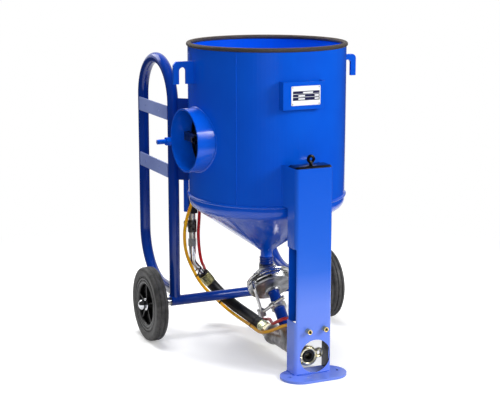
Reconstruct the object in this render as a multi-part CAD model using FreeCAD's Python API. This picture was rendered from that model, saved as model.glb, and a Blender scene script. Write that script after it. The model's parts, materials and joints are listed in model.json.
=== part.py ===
import FreeCAD, Part
import math
import os

os.makedirs("parts", exist_ok=True)

V = FreeCAD.Vector
X_AXIS = V(1, 0, 0)
Y_AXIS = V(0, 1, 0)
UP = V(0, 0, 1)

# Portable abrasive blast pot. Millimetres, +X to the right, +Y to the wheels, +Z up.
# Places below are taken from the vessel's axis on the floor; save() moves them to the
# middle of the footprint.

# Vessel
tank_r = 305.0
tank_wall = 6.0
tank_rim_z = 1208.0
tank_weld_z = 625.0
knuckle_band = 13.0
knuckle_r = 45.0
cone_slope = 35.0
neck_r = 24.0
neck_wall = 4.0
neck_drop = 24.0
coupling_length = 31.8
trim_r = 8.5

# Filling head and pop-up valve
head_edge_z = 1138.0
head_dip = 76.0
head_wall = 6.0
fill_r = 50.0
collar_r = 68.0
collar_depth = 12.0
seal_r = 46.0
seal_depth = 10.0
plug_r = 58.0
plug_skirt = 8.0
plug_height = 44.0
plug_stroke = 28.0
plug_gap = 0.4
stem_r = 10.0
stem_length = 130.0
standpipe_r = 28.0
standpipe_wall = 4.0
standpipe_length = 128.0
guide_depth = 16.0
slide_gap = 0.05

# Handhole
hatch_turn = -176.4
hatch_z = 856.5
hatch_r = 121.0
hatch_wall = 6.0
hatch_mouth = 355.0
hatch_seat = 270.0
hatch_gasket = 6.0
hatch_cover = 10.0
yoke_depth = 16.0
yoke_height = 34.0
yoke_stand = 14.0
stud_r = 9.5
stud_reach = 53.0
nut_across = 30.0
nut_depth = 17.0
keeper_side = -129.5
keeper_drop = -20.0
keeper_boss_r = 11.0

# Lifting lugs and nameplate
lug_reach = 82.0
lug_top_z = 1153.0
lug_height = 85.0
lug_plate = 12.0
lug_slot = 28.0
lug_hook = 22.0
lug_corner = 18.0
label_left = -89.0
label_right = 78.0
label_low_z = 993.0
label_high_z = 1095.0
label_stand = 23.0
label_sheet = 3.0
rating_shift = 8.0
rating_width = 118.0
rating_height = 71.0
rating_sheet = 1.0
rivet_r = 2.5

# Front leg and foot
leg_front = -412.0
leg_back = -343.0
leg_width = 152.0
leg_sheet = 5.0
leg_bend = 14.0
leg_top_z = 788.0
leg_weld_z = 634.0
leg_plate_z = 200.0
window_low_z = 211.0
window_high_z = 490.0
window_lip = 4.0
leg_hole_x = 8.0
leg_hole_z = 76.0
leg_hole_r = 63.0
foot_y = -413.5
foot_width = 262.0
foot_depth = 148.0
foot_sheet = 9.0
foot_hole_x = 98.0
foot_hole_r = 7.0
cap_rise = 8.0
cap_grip = 14.0
cap_gap = 2.5
eye_ring_r = 11.0
eye_wire_r = 5.5
eye_stem = 22.0
port_places = [(-25.0, 178.0), (43.0, 180.0)]
port_r = 9.5
port_bore = 4.5
port_out = 22.0
port_in = 23.0
port_nut_across = 24.0
port_nut_depth = 8.0

# Rear frame
tube_r = 22.0
tube_wall = 3.0
tube_x = 286.0
tube_y = 268.0
rack_y = 608.0
rack_arch_z = 955.0
rack_low_z = 188.0
rack_bend = 200.0
bar_sheet = 5.0
bar_height = 56.0
bar_levels = [921.0, 688.0]
bar_inset = 10.0
bar_hole_r = 4.5
bar_hole_step = 161.0
bracket_low_z = 653.0
bracket_high_z = 981.0
bracket_sheet = 8.0

# Axle and wheels
axle_y = 260.0
axle_r = 10.0
axle_stub = 17.5
beam_r = 20.5
beam_wall = 3.0
beam_reach = 308.0
wheel_r = 150.0
wheel_face = 422.0
tyre_width = 52.0
rim_r = 110.0
rim_inner_r = 81.0
rim_inset = 4.0
hub_r = 24.0
hub_inset = 9.5
hub_length = 67.5
web_sheet = 8.0
spoke_count = 5
spoke_sheet = 5.0
spoke_depth = 14.0
bush_wall = 4.0
groove_depth = 3.0
groove_width = 4.5
shoulder = 8.0
cap_dome_r = 28.0
cap_crown = 17.0
cap_skirt_share = 0.45
spin_gap = 0.5
washer_sheet = 3.5
washer_r = 20.0
spacer_r = 16.0

# Metering valve, measured along its tilted axis from the flange joint
valve_y = -35.0
inlet_rise = 68.0
valve_tilt = 45.0
flange_r = 92.0
flange_sheet = 9.0
flange_lip = 6.0
flange_groove = 2.0
gasket_sheet = 3.0
bowl_r = 87.0
bowl_depth = 28.0
bowl_wall = 21.0
bowl_round = 7.0
chamber_depth = 18.5
dome_r = 77.0
dome_top_r = 48.0
dome_height = 33.0
inlet_r = 30.0
inlet_bore = 18.0
valve_bolts = 6
valve_bolt_ring = 84.3
valve_bolt_r = 4.0
valve_bolt_across = 12.0
nose_r = 32.0
nose_depth = 18.0
disc_depth = 6.0
disc_gap = 2.0
disc_port_r = 16.0
arm_turn = 157.0
arm_width = 14.0
arm_reach = 103.0
arm_play = 0.5
lever_range = 45.0
lever_knee = 43.0
lever_plane = 111.0
lever_offset = 38.0
lever_bar_r = 6.0
lever_rod_turn = 61.7
lever_rod_r = 6.5
lever_rod_length = 118.0
lever_block = 23.0
lever_block_length = 30.0
lever_collar_r = 30.0
lever_collar_depth = 20.0
lever_ball_r = 9.0
plug_port_turn = 190.0
plug_port_r = 10.0
plug_boss = 32.0
plug_boss_out = 10.0
plug_pin_r = 2.5
plug_pin_length = 18.0

# Outlet pipe, mixing wye and blast coupling
pipe_r = 22.5
pipe_wall = 3.5
pipe_start = 32.0
wye_z = 64.0
wye_back = -62.0
wye_front = -310.0
wye_r = 32.0
wye_bore = 19.0
wye_flange_r = 40.0
wye_flange_depth = 18.0
branch_r = 30.0
branch_length = 85.0
branch_socket = 12.0
claw_hex = 54.0
claw_hex_depth = 38.0
claw_flange_r = 39.0
claw_flange_depth = 24.0
claw_r = 47.0
claw_depth = 18.0
claw_width = 26.0
claw_seal_r = 23.0
claw_seal_bore = 15.0
claw_seal_depth = 6.0

# Air line
stack_x = -179.0
stack_y = 338.0
stack_levels = [491.0, 462.0, 412.0, 383.0, 353.0, 319.0]
nipple_r = 14.0
body_r = 18.0
union_across = 32.0
union_bore = 10.0
tail_r = 13.0
branch_port_y = 402.0
branch_port_r = 13.0
branch_port_bore = 9.0
manifold_low_z = 491.0
manifold_high_z = 612.0
manifold_size = 30.0
elbow_z = 600.0
elbow_low_z = 585.0
elbow_r = 8.0
air_pipe_r = 12.0
air_pipe_wall = 2.5
air_pipe_low_z = 500.0
air_pipe_high_z = 900.0
air_pipe_bend = 60.0
hose_r = 23.0
ferrule_r = 26.5
ferrule_length = 50.0
ferrule_share = 0.62
ferrule_stand = 3.0
hose_nut_across = 54.0
control_hose_r = 6.5
tie_width = 5.0
tie_sheet = 1.2
tie_head = 6.0
hose_tie_places = [0.30, 0.80]
tail_tie_place = 0.70

tail_turn = (46.0, 4.0, -56.0)
pusher_route = [(-133, 342, 229), (-82.3, 346.4, 167.3), (-49, 327.5, 127), (-22, 286, 98),
                (-6, 232, 82), (-1, 160, 77), (0, 80, 73), (0, -18, 66)]
yellow_route = [(-186, 303, elbow_low_z), (-186, 303, 560), (-203, 300, 522), (-218, 300, 480),
                (-228, 300, 434), (-229, 300, 388), (-224, 300, 344), (-210, 304, 302),
                (-190, 309, 260), (-166, 315, 216), (-139, 322, 178), (-112, 324, 148),
                (-80, 318, 116), (-52, 290, 84), (-36, 244, 67), (-29, 188, 60), (-29, 124, 60),
                (-30, 66, 60), (-34, 18, 59), (-43, -34, 67), (-48, -82, 81), (-40, -128, 99),
                (-39, -180, 124), (-37, -236, 150), (-33, -284, 167), (-27, -326, 176),
                (-25, -358, 178), (-25, -384, 178)]
red_route = [(-150, 330, elbow_low_z), (-150, 330, 556), (-151, 325, 508), (-156, 320, 460),
             (-160, 320, 412), (-158, 320, 360), (-151, 324, 312), (-138, 335, 274),
             (-117, 364, 252), (-104, 381, 219), (-87, 380, 183), (-58, 371, 139), (-20, 333, 93),
             (8, 276, 67), (25, 208, 63), (31, 140, 70), (32, 78, 79), (22, 24, 98), (4, -28, 112),
             (-12, -74, 117), (-25, -114, 123), (-32, -150, 138), (-33, -190, 158), (-31, -232, 177),
             (-20, -272, 187), (4, -310, 189), (30, -338, 184), (43, -361, 180), (43, -384, 180)]

# Worked out from the sizes above
foot_edge = foot_y - foot_depth / 2
rack_edge = rack_y + tube_r
axis_y = -(foot_edge + rack_edge) / 2
tank_inner = tank_r - tank_wall
leg_half = leg_width / 2
slope = math.radians(cone_slope)
head_low_z = head_edge_z - head_dip
seal_low_z = head_low_z - collar_depth - seal_depth
cone_run = (plug_r - seal_r) * (plug_height - plug_skirt) / plug_r
plug_closed_z = seal_low_z - plug_gap - plug_skirt - cone_run
plug_z = plug_closed_z - plug_stroke
standpipe_top_z = plug_z - 8.0
valve_sine = math.sin(math.radians(valve_tilt))
valve_cosine = math.cos(math.radians(valve_tilt))
valve_axis = V(0, -valve_cosine, -valve_sine)
hub_outer = wheel_face - hub_inset
hub_inner = hub_outer - hub_length
axle_reach = hub_outer + axle_stub
cap_dome_out = axle_reach + cap_crown
bush_r = axle_r + bush_wall
axle_z = wheel_r
tank_solid = Part.makeCylinder(tank_r, tank_rim_z, V(0, 0, 0), UP)


# Shapes

def cylinder(start, direction, radius, length):
    return Part.makeCylinder(radius, length, V(*start), V(*direction))


def ring(start, direction, outer, inner, length):
    return cylinder(start, direction, outer, length).cut(cylinder(start, direction, inner, length))


def block(low, high):
    return Part.makeBox(high[0] - low[0], high[1] - low[1], high[2] - low[2], V(*low))


def placed(shape, start, direction):
    moved = shape.copy()
    moved.Placement = FreeCAD.Placement(V(*start), FreeCAD.Rotation(UP, V(*direction)))
    return moved


def hexagon(start, direction, across, length):
    radius = across / math.sqrt(3)
    corners = []
    for k in range(7):
        corners.append(V(radius * math.cos(k * math.pi / 3), radius * math.sin(k * math.pi / 3), 0))
    return placed(Part.Face(Part.makePolygon(corners)).extrude(V(0, 0, length)), start, direction)


def turned(profile, start=(0, 0, 0), direction=(0, 0, 1)):
    corners = [V(radius, 0, height) for radius, height in profile]
    face = Part.Face(Part.makePolygon(corners + corners[:1]))
    return placed(face.revolve(V(0, 0, 0), UP, 360), start, direction)


def revolved(edges):
    return Part.Face(Part.Wire(edges)).revolve(V(0, 0, 0), UP, 360)


def line(first, last):
    return Part.LineSegment(V(*first), V(*last)).toShape()


def arc(first, middle, last):
    return Part.Arc(V(*first), V(*middle), V(*last)).toShape()


def route(points, radii=None):
    """One wire of straight runs joined by tangent arcs, and the arcs' radii."""
    points = [V(*point) for point in points]
    edges = []
    used = []
    start = points[0]
    for k in range(1, len(points) - 1):
        back = points[k - 1] - points[k]
        ahead = points[k + 1] - points[k]
        half_turn = (math.pi - back.getAngle(ahead)) / 2
        reach = 0.45 * min(back.Length, ahead.Length)
        if radii:
            reach = radii[k - 1] * math.tan(half_turn)
        radius = reach / math.tan(half_turn)
        back.normalize()
        ahead.normalize()
        middle = back + ahead
        middle.normalize()
        first = points[k] + back * reach
        last = points[k] + ahead * reach
        crest = points[k] + middle * (radius / math.cos(half_turn) - radius)
        if (first - start).Length > 0.001:
            edges.append(Part.LineSegment(start, first).toShape())
        edges.append(Part.Arc(first, crest, last).toShape())
        used.append(radius)
        start = last
    edges.append(Part.LineSegment(start, points[-1]).toShape())
    return Part.Wire(edges), used


def swept(wire, radius):
    first = wire.Edges[0]
    start = first.valueAt(first.FirstParameter)
    along = first.tangentAt(first.FirstParameter)
    circle = Part.Wire(Part.makeCircle(radius, start, along))
    return wire.makePipeShell([circle], True, False)


def hose(name, wire, radii, radius):
    solid = swept(wire, radius)
    share = solid.Volume / (math.pi * radius ** 2 * wire.Length)
    print(name, "radii", [round(value) for value in radii], "volume share", round(share, 4))
    return solid


def mirrored(shape):
    return shape.mirror(V(0, 0, 0), X_AXIS)


def both_sides(shape):
    return Part.makeCompound([shape, mirrored(shape)])


def in_hatch(shape):
    """Moves a shape from the handhole's own frame: x across, y up, z outward."""
    turn = math.radians(hatch_turn)
    outward = V(math.cos(turn), math.sin(turn), 0)
    moved = shape.copy()
    turn_to = FreeCAD.Rotation(UP.cross(outward), UP, outward, "ZYX")
    moved.Placement = FreeCAD.Placement(V(0, 0, hatch_z), turn_to)
    return moved


def in_valve(shape):
    """Moves a shape from the valve's own frame: x to the right, z down its axis."""
    moved = shape.copy()
    moved.Placement = FreeCAD.Placement(valve_centre, FreeCAD.Rotation(X_AXIS, 180 - valve_tilt))
    return moved


def save(name, shape):
    moved = shape.copy()
    moved.translate(V(0, axis_y, 0))
    moved.exportStep(os.path.join("parts", name + ".step"))
    print(name, len(moved.Solids), moved.isValid(), round(moved.Volume / 1000))


# Vessel

def vessel_profile(inset):
    """Edges of the cone's side, from the weld down to the neck, at one depth into its wall."""
    radius = knuckle_r - inset
    centre_r = tank_r - knuckle_r
    centre_z = tank_weld_z - knuckle_band
    end_turn = math.pi / 2 - slope
    half = end_turn / 2
    foot_r = centre_r + radius * math.cos(end_turn)
    foot_z = centre_z - radius * math.sin(end_turn)
    neck = neck_r - inset * neck_wall / tank_wall
    neck_z = foot_z - (foot_r - neck) * math.tan(slope)
    weld = (tank_r - inset, 0, tank_weld_z)
    start = (tank_r - inset, 0, centre_z)
    crest = (centre_r + radius * math.cos(half), 0, centre_z - radius * math.sin(half))
    foot = (foot_r, 0, foot_z)
    return [line(weld, start), arc(start, crest, foot), line(foot, (neck, 0, neck_z))], neck, neck_z


def cone_parts():
    outer, outer_r, outer_z = vessel_profile(0.0)
    inner, inner_r, inner_z = vessel_profile(tank_wall)
    low_z = outer_z - neck_drop
    lid = line((tank_r, 0, tank_weld_z), (tank_inner, 0, tank_weld_z))
    side = line((outer_r, 0, outer_z), (outer_r, 0, low_z))
    base = line((outer_r, 0, low_z), (inner_r, 0, low_z))
    bore = line((inner_r, 0, low_z), (inner_r, 0, inner_z))
    return revolved(Part.__sortEdges__(outer + inner + [lid, side, base, bore])), low_z, inner_r


bottom_cone, neck_low_z, neck_bore = cone_parts()

# What hangs below the neck
inlet_top_z = neck_low_z - coupling_length
valve_z = inlet_top_z - inlet_rise
valve_centre = V(0, valve_y, valve_z)
branch_reach = (valve_z - wye_z) / valve_sine
branch_y = valve_y - branch_reach * valve_cosine

hatch_hole = in_hatch(cylinder((0, 0, hatch_seat), (0, 0, 1), hatch_r, hatch_mouth - hatch_seat))
air_pipe_x = stack_x - manifold_size / 2 + 3 - air_pipe_r
pipe_inward = V(-air_pipe_x, -stack_y, 0)
pipe_inward.normalize()
pipe_hole = cylinder((0, 0, air_pipe_high_z), -pipe_inward, air_pipe_r, tank_r + air_pipe_r)
tank_shell = ring((0, 0, tank_weld_z), (0, 0, 1), tank_r, tank_inner, tank_rim_z - tank_weld_z)
save("tank_shell", tank_shell.cut(hatch_hole).cut(pipe_hole))
save("bottom_cone", bottom_cone)


def outlet_coupling():
    depth = neck_low_z - inlet_top_z
    bead = depth / 3
    profile = [(neck_bore, neck_low_z), (neck_bore, inlet_top_z)]
    for k in range(3):
        low = inlet_top_z + k * bead
        profile.append((neck_r + 1, low))
        profile.append((neck_r + 4, low + bead * 0.3))
        profile.append((neck_r + 4, low + bead * 0.7))
    profile.append((neck_r + 1, neck_low_z))
    return turned(profile)


save("outlet_coupling", outlet_coupling())


def trim():
    centre = (tank_r - tank_wall / 2, 0, tank_rim_z)
    ring_solid = Part.makeTorus(centre[0], trim_r, V(0, 0, tank_rim_z), UP)
    slot = ring((0, 0, tank_rim_z - 2 * trim_r), (0, 0, 1), tank_r, tank_inner, 2 * trim_r)
    return ring_solid.cut(slot)


save("rim_trim", trim())


def filling_head():
    middle_r = (tank_inner + fill_r) / 2
    middle_z = head_low_z + head_dip * 0.33
    top = arc((tank_inner, 0, head_edge_z), (middle_r, 0, middle_z), (fill_r, 0, head_low_z))
    low = arc((tank_inner, 0, head_edge_z - head_wall * 1.2), (middle_r, 0, middle_z - head_wall),
              (fill_r, 0, head_low_z - head_wall))
    edge = line((tank_inner, 0, head_edge_z), (tank_inner, 0, head_edge_z - head_wall * 1.2))
    bore = line((fill_r, 0, head_low_z), (fill_r, 0, head_low_z - head_wall))
    dish = revolved(Part.__sortEdges__([top, low, edge, bore]))
    base_z = head_low_z - collar_depth
    collar = ring((0, 0, base_z), (0, 0, 1), collar_r, fill_r, collar_depth)
    return dish.fuse(collar).removeSplitter()


save("filling_head", filling_head())
save("filling_seal", ring((0, 0, seal_low_z), (0, 0, 1), collar_r - 2, seal_r, seal_depth))

plug_profile = [(0, 0), (plug_r, 0), (plug_r, plug_skirt)]
plug_profile += [(seal_r / 3, plug_skirt + (plug_r - seal_r / 3) * (plug_height - plug_skirt) / plug_r)]
plug_profile += [(0, plug_height)]
plug = turned(plug_profile, (0, 0, plug_z))
stem = cylinder((0, 0, plug_z - stem_length), (0, 0, 1), stem_r, stem_length)
save("popup_valve", plug.fuse(stem).removeSplitter())


def standpipe():
    low_z = standpipe_top_z - standpipe_length
    inner = standpipe_r - standpipe_wall
    pipe = ring((0, 0, low_z), (0, 0, 1), standpipe_r, inner, standpipe_length)
    for z in (low_z, standpipe_top_z - guide_depth):
        guide = ring((0, 0, z), (0, 0, 1), inner, stem_r + slide_gap, guide_depth)
        for k in range(4):
            turn = math.pi * (0.25 + k / 2)
            at = (stem_r + inner) / 2
            vent = (at * math.cos(turn), at * math.sin(turn), z - 1)
            guide = guide.cut(cylinder(vent, (0, 0, 1), standpipe_wall, guide_depth + 2))
        pipe = pipe.fuse(guide)
    return pipe.cut(pipe_hole).removeSplitter()


save("standpipe", standpipe())


# Handhole

def hatch_parts():
    length = hatch_mouth - hatch_seat
    inner = hatch_r - hatch_wall
    nozzle = ring((0, 0, hatch_seat), (0, 0, 1), hatch_r, inner, length)
    boss_low = hatch_mouth - stud_reach * 0.6
    boss = cylinder((keeper_side, keeper_drop, boss_low), (0, 0, 1), keeper_boss_r, hatch_mouth - boss_low)
    nozzle = nozzle.fuse(boss).removeSplitter()
    gasket_z = hatch_seat - hatch_gasket
    cover_z = gasket_z - hatch_cover
    yoke_z = hatch_seat + yoke_stand
    bar = block((-hatch_r, -yoke_height / 2, yoke_z), (hatch_r, yoke_height / 2, yoke_z + yoke_depth))
    yoke = bar.common(cylinder((0, 0, hatch_seat), (0, 0, 1), inner, length))
    yoke = yoke.cut(cylinder((0, 0, yoke_z), (0, 0, 1), stud_r, yoke_depth))
    nut_z = yoke_z + yoke_depth
    centre_stud = cylinder((0, 0, cover_z + hatch_cover), (0, 0, 1), stud_r, nut_z + nut_depth + 8 - gasket_z)
    keeper_stud = cylinder((keeper_side, keeper_drop, hatch_mouth), (0, 0, 1), stud_r, stud_reach)
    nuts = []
    for x, y, z in ((0, 0, nut_z), (keeper_side, keeper_drop, hatch_mouth)):
        nut = hexagon((x, y, z), (0, 0, 1), nut_across, nut_depth)
        nuts.append(nut.cut(cylinder((x, y, z), (0, 0, 1), stud_r, nut_depth)))
    save("handhole_nozzle", in_hatch(nozzle))
    save("handhole_cover", in_hatch(cylinder((0, 0, cover_z), (0, 0, 1), hatch_r, hatch_cover)))
    save("handhole_gasket", in_hatch(ring((0, 0, gasket_z), (0, 0, 1), hatch_r, inner - 6, hatch_gasket)))
    save("handhole_yoke", in_hatch(yoke))
    save("handhole_studs", in_hatch(Part.makeCompound([centre_stud, keeper_stud])))
    save("handhole_nuts", in_hatch(Part.makeCompound(nuts)))


hatch_parts()


# Lugs and nameplate

def lifting_lug():
    out = tank_r + lug_reach
    low_z = lug_top_z - lug_height
    plate = block((-out, -lug_plate / 2, low_z), (-tank_inner, lug_plate / 2, lug_top_z))
    outer = [e for e in plate.Edges if abs(e.CenterOfMass.x + out) < 0.1]
    edges = [e for e in outer if e.CenterOfMass.z > lug_top_z - 0.1]
    plate = plate.makeFillet(lug_corner, edges)
    slot_x = -(out - lug_hook - lug_slot / 2)
    crown_z = lug_top_z - lug_hook - lug_slot / 2
    slot = block((slot_x - lug_slot / 2, -lug_plate, low_z - 1), (slot_x + lug_slot / 2, lug_plate, crown_z))
    crown = cylinder((slot_x, -lug_plate, crown_z), (0, 1, 0), lug_slot / 2, 2 * lug_plate)
    return plate.cut(slot).cut(crown).cut(tank_solid)


save("lifting_lugs", both_sides(lifting_lug()))

label_front = -tank_r - label_stand


def nameplate_bracket():
    outer = block((label_left, label_front, label_low_z), (label_right, -tank_r / 2, label_high_z))
    low = (label_left + label_sheet, label_front + label_sheet, label_low_z)
    inner = block(low, (label_right - label_sheet, -tank_r / 2, label_high_z))
    return outer.cut(inner).cut(tank_solid)


def rating_parts():
    middle_x = (label_left + label_right) / 2 + rating_shift
    middle_z = (label_low_z + label_high_z) / 2
    face = label_front - rating_sheet
    low = (middle_x - rating_width / 2, face, middle_z - rating_height / 2)
    high = (middle_x + rating_width / 2, label_front, middle_z + rating_height / 2)
    rivets = []
    for side in (-1, 1):
        for level in (-1, 1):
            x = middle_x + side * (rating_width / 2 - 2 * rivet_r)
            z = middle_z + level * (rating_height / 2 - 2 * rivet_r)
            rivets.append(cylinder((x, face - rivet_r / 2, z), (0, 1, 0), rivet_r, rivet_r / 2))
    return block(low, high), Part.makeCompound(rivets)


rating_plate, plate_rivets = rating_parts()
save("nameplate_bracket", nameplate_bracket())
save("rating_plate", rating_plate)
save("plate_rivets", plate_rivets)


# Front leg

def folded(inset, back, low_z, high_z):
    """A block with its two front corners rounded, standing in from the leg's outside."""
    solid = block((-leg_half + inset, leg_front + inset, low_z), (leg_half - inset, back, high_z))
    front = leg_front + inset
    corners = [e for e in solid.Edges if abs(e.CenterOfMass.y - front) < 0.1 and
               abs(abs(e.CenterOfMass.x) - leg_half + inset) < 0.1]
    return solid.makeFillet(leg_bend - inset, corners)


def leg_channel():
    height = leg_top_z - foot_sheet
    low_z = foot_sheet
    outer = folded(0.0, leg_back, low_z, low_z + height)
    channel = outer.cut(folded(leg_sheet, leg_back + 1, low_z, low_z + height))
    for side in (-1, 1):
        inner_x = side * (leg_half - leg_sheet)
        outer_x = side * leg_half
        low = (min(inner_x, outer_x), leg_back, leg_weld_z)
        cheek = block(low, (max(inner_x, outer_x), -tank_r / 2, leg_top_z))
        channel = channel.fuse(cheek.cut(tank_solid))
    window_x = -leg_half + leg_bend - window_lip
    window = block(
        (-leg_half - 1, leg_front + window_lip, window_low_z),
        (window_x, leg_back + 1, window_high_z),
    )
    hole = cylinder((leg_hole_x, leg_front - 1, leg_hole_z), (0, 1, 0), leg_hole_r, leg_sheet + 2)
    channel = channel.cut(window).cut(hole)
    for x, z in port_places:
        channel = channel.cut(cylinder((x, leg_front - 1, z), (0, 1, 0), port_r, leg_sheet + 2))
    return channel.removeSplitter()


def leg_back_plate():
    inner = leg_half - leg_sheet
    plate = block((-inner, leg_back - leg_sheet, leg_plate_z), (inner, leg_back, leg_top_z - cap_grip))
    return plate


def foot_plate():
    reach = (foot_width - foot_depth) / 2
    middle = block((-reach, foot_edge, 0), (reach, foot_edge + foot_depth, foot_sheet))
    for side in (-1, 1):
        end = cylinder((side * reach, foot_y, 0), (0, 0, 1), foot_depth / 2, foot_sheet)
        middle = middle.fuse(end)
    for side in (-1, 1):
        middle = middle.cut(cylinder((side * foot_hole_x, foot_y, 0), (0, 0, 1), foot_hole_r, foot_sheet))
    return middle.removeSplitter()


cap_top_z = leg_top_z + cap_rise
cap_y = (leg_front + leg_back) / 2


def leg_cap():
    inner = leg_half - leg_sheet
    front = leg_front + leg_sheet
    plug_part = folded(leg_sheet, leg_back, leg_top_z - cap_grip, leg_top_z)
    rim = folded(cap_gap, leg_back, leg_top_z, cap_top_z)
    edges = [e for e in rim.Edges if e.CenterOfMass.z > cap_top_z - 0.1]
    rim = rim.makeChamfer(cap_rise * 0.7, edges)
    return plug_part.fuse(rim).removeSplitter()


def leg_eye():
    centre_z = cap_top_z + eye_stem
    eye = Part.makeTorus(eye_ring_r, eye_wire_r, V(0, cap_y, centre_z), Y_AXIS)
    shank_top = centre_z - eye_ring_r
    shank = cylinder((0, cap_y, cap_top_z), (0, 0, 1), eye_wire_r * 1.2, shank_top - cap_top_z)
    return eye.fuse(shank).removeSplitter()


def bulkhead_fittings():
    solids = []
    for x, z in port_places:
        length = port_out + port_in + leg_sheet
        barrel = cylinder((x, leg_front - port_out, z), (0, 1, 0), port_r, length)
        barrel = barrel.cut(cylinder((x, leg_front - port_out, z), (0, 1, 0), port_bore, length - 5))
        nut = hexagon((x, leg_front + leg_sheet, z), (0, 1, 0), port_nut_across, port_nut_depth)
        nut = nut.cut(cylinder((x, leg_front + leg_sheet, z), (0, 1, 0), port_r, port_nut_depth))
        solids += [barrel, nut]
    return Part.makeCompound(solids)


save("leg_channel", leg_channel())
save("leg_back_plate", leg_back_plate())
save("foot_plate", foot_plate())
save("leg_cap", leg_cap().fuse(leg_eye()).removeSplitter())
save("bulkhead_fittings", bulkhead_fittings())


# Rear frame

crossbar_solid = cylinder((-beam_reach, axle_y, axle_z), (1, 0, 0), beam_r, 2 * beam_reach)


def loop_tube(radius):
    arch = (rack_y - tube_y) / 2
    top_z = rack_arch_z + arch
    points = [(-tube_x, tube_y, axle_z), (-tube_x, tube_y, top_z), (-tube_x, rack_y, top_z)]
    points += [(-tube_x, rack_y, rack_low_z), (-tube_x, tube_y + tube_r + 3, rack_low_z)]
    wire, radii = route(points, [arch, arch, rack_bend])
    tube = swept(wire, radius)
    stub = cylinder((-tube_x, tube_y, rack_low_z), (0, 1, 0), radius, tube_r + 5)
    return tube.fuse(stub)


loop_outer = loop_tube(tube_r)
loop = loop_outer.cut(loop_tube(tube_r - tube_wall)).cut(crossbar_solid).removeSplitter()
save("left_loop", loop)
right_loop = loop.copy()
right_loop.translate(V(2 * tube_x, 0, 0))
save("right_loop", right_loop)


def rack_bars():
    bars = []
    face = -tube_x - tube_r
    middle_y = (tube_y + rack_y) / 2 + bar_inset
    for z in bar_levels:
        low = (face, tube_y + bar_inset, z - bar_height / 2)
        high = (face + bar_sheet, rack_y - bar_inset, z + bar_height / 2)
        bar = block(low, high).cut(loop_outer)
        for side in (-1, 1):
            y = middle_y + side * bar_hole_step / 2
            bar = bar.cut(cylinder((face - 1, y, z), (1, 0, 0), bar_hole_r, bar_sheet + 2))
        bars += [bar, mirrored(bar)]
    return Part.makeCompound(bars)


def tank_brackets():
    reach = math.hypot(tube_x, tube_y) - tube_r / 2
    plate = block((tank_inner, -bracket_sheet / 2, bracket_low_z), (reach, bracket_sheet / 2, bracket_high_z))
    plate.rotate(V(0, 0, 0), UP, math.degrees(math.atan2(tube_y, -tube_x)))
    tube = cylinder((-tube_x, tube_y, bracket_low_z), (0, 0, 1), tube_r, bracket_high_z - bracket_low_z)
    return both_sides(plate.cut(tank_solid).cut(tube))


save("rack_bars", rack_bars())
save("tank_brackets", tank_brackets())
beam_bore = cylinder((-beam_reach, axle_y, axle_z), (1, 0, 0), beam_r - beam_wall, 2 * beam_reach)
save("crossbar", crossbar_solid.cut(beam_bore))
save("axle", cylinder((-axle_reach, axle_y, axle_z), (1, 0, 0), axle_r, 2 * axle_reach))


# Wheels, drawn for the right side and mirrored to the left

def on_axle(profile):
    return turned(profile, (0, axle_y, axle_z), (1, 0, 0))


def tyre():
    inner = wheel_face - tyre_width
    tread = wheel_r - groove_depth
    crown = shoulder * 0.3
    profile = [(rim_r, inner + shoulder), (rim_r + shoulder, inner), (wheel_r - shoulder, inner)]
    profile += [(wheel_r - crown, inner + crown), (wheel_r, inner + shoulder)]
    for k in (1, 2):
        x = inner + k * tyre_width / 3
        profile.append((wheel_r, x - groove_width / 2))
        profile.append((tread, x - groove_width / 4))
        profile.append((tread, x + groove_width / 4))
        profile.append((wheel_r, x + groove_width / 2))
    profile += [(wheel_r, wheel_face - shoulder), (wheel_r - crown, wheel_face - crown)]
    profile.append((wheel_r - shoulder, wheel_face))
    profile += [(rim_r + shoulder, wheel_face), (rim_r, wheel_face - shoulder)]
    return on_axle(profile)


def wheel_centre():
    inner = wheel_face - tyre_width + rim_inset
    outer = wheel_face - rim_inset
    middle = (inner + outer) / 2
    drop = (rim_r + rim_inner_r) / 2
    rim = on_axle([(rim_inner_r, inner), (rim_r, inner + rim_inset), (rim_r, outer - rim_inset),
                   (drop + 2, outer), (drop, outer - 3), (drop - 2, outer), (rim_inner_r, outer)])
    web = on_axle([(hub_r - 2, middle - web_sheet / 2), (rim_inner_r + 1, middle - web_sheet / 2),
                   (rim_inner_r + 1, middle + web_sheet / 2), (hub_r - 2, middle + web_sheet / 2)])
    hub = on_axle([(bush_r, hub_inner), (hub_r, hub_inner), (hub_r, hub_outer), (bush_r, hub_outer)])
    solid = rim.fuse(web).fuse(hub)
    for k in range(spoke_count):
        low = (middle, -spoke_sheet / 2, hub_r - 2)
        spoke = block(low, (middle + spoke_depth, spoke_sheet / 2, rim_inner_r + 1))
        spoke.rotate(V(0, 0, 0), X_AXIS, k * 360 / spoke_count)
        spoke.translate(V(0, axle_y, axle_z))
        solid = solid.fuse(spoke)
    return solid.removeSplitter()


def hub_cap():
    base = hub_outer + spin_gap
    rise = cap_dome_out - base
    skirt = rise * cap_skirt_share
    dome_r = (cap_dome_r ** 2 + (rise - skirt) ** 2) / (2 * (rise - skirt))
    dome = Part.makeSphere(dome_r, V(cap_dome_out - dome_r, axle_y, axle_z))
    barrel = cylinder((base, axle_y, axle_z), (1, 0, 0), cap_dome_r, rise)
    bore = cylinder((base, axle_y, axle_z), (1, 0, 0), axle_r, axle_reach - base)
    return barrel.common(dome).cut(bore)


def bush():
    gap_r = axle_r + slide_gap
    return on_axle([(gap_r, hub_inner), (bush_r, hub_inner), (bush_r, hub_outer), (gap_r, hub_outer)])


wheel_pieces = {"tyre": tyre(), "wheel": wheel_centre(), "bush": bush(), "hub_cap": hub_cap()}
for piece, shape in wheel_pieces.items():
    save("right_" + piece, shape)
    save("left_" + piece, mirrored(shape))

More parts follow.
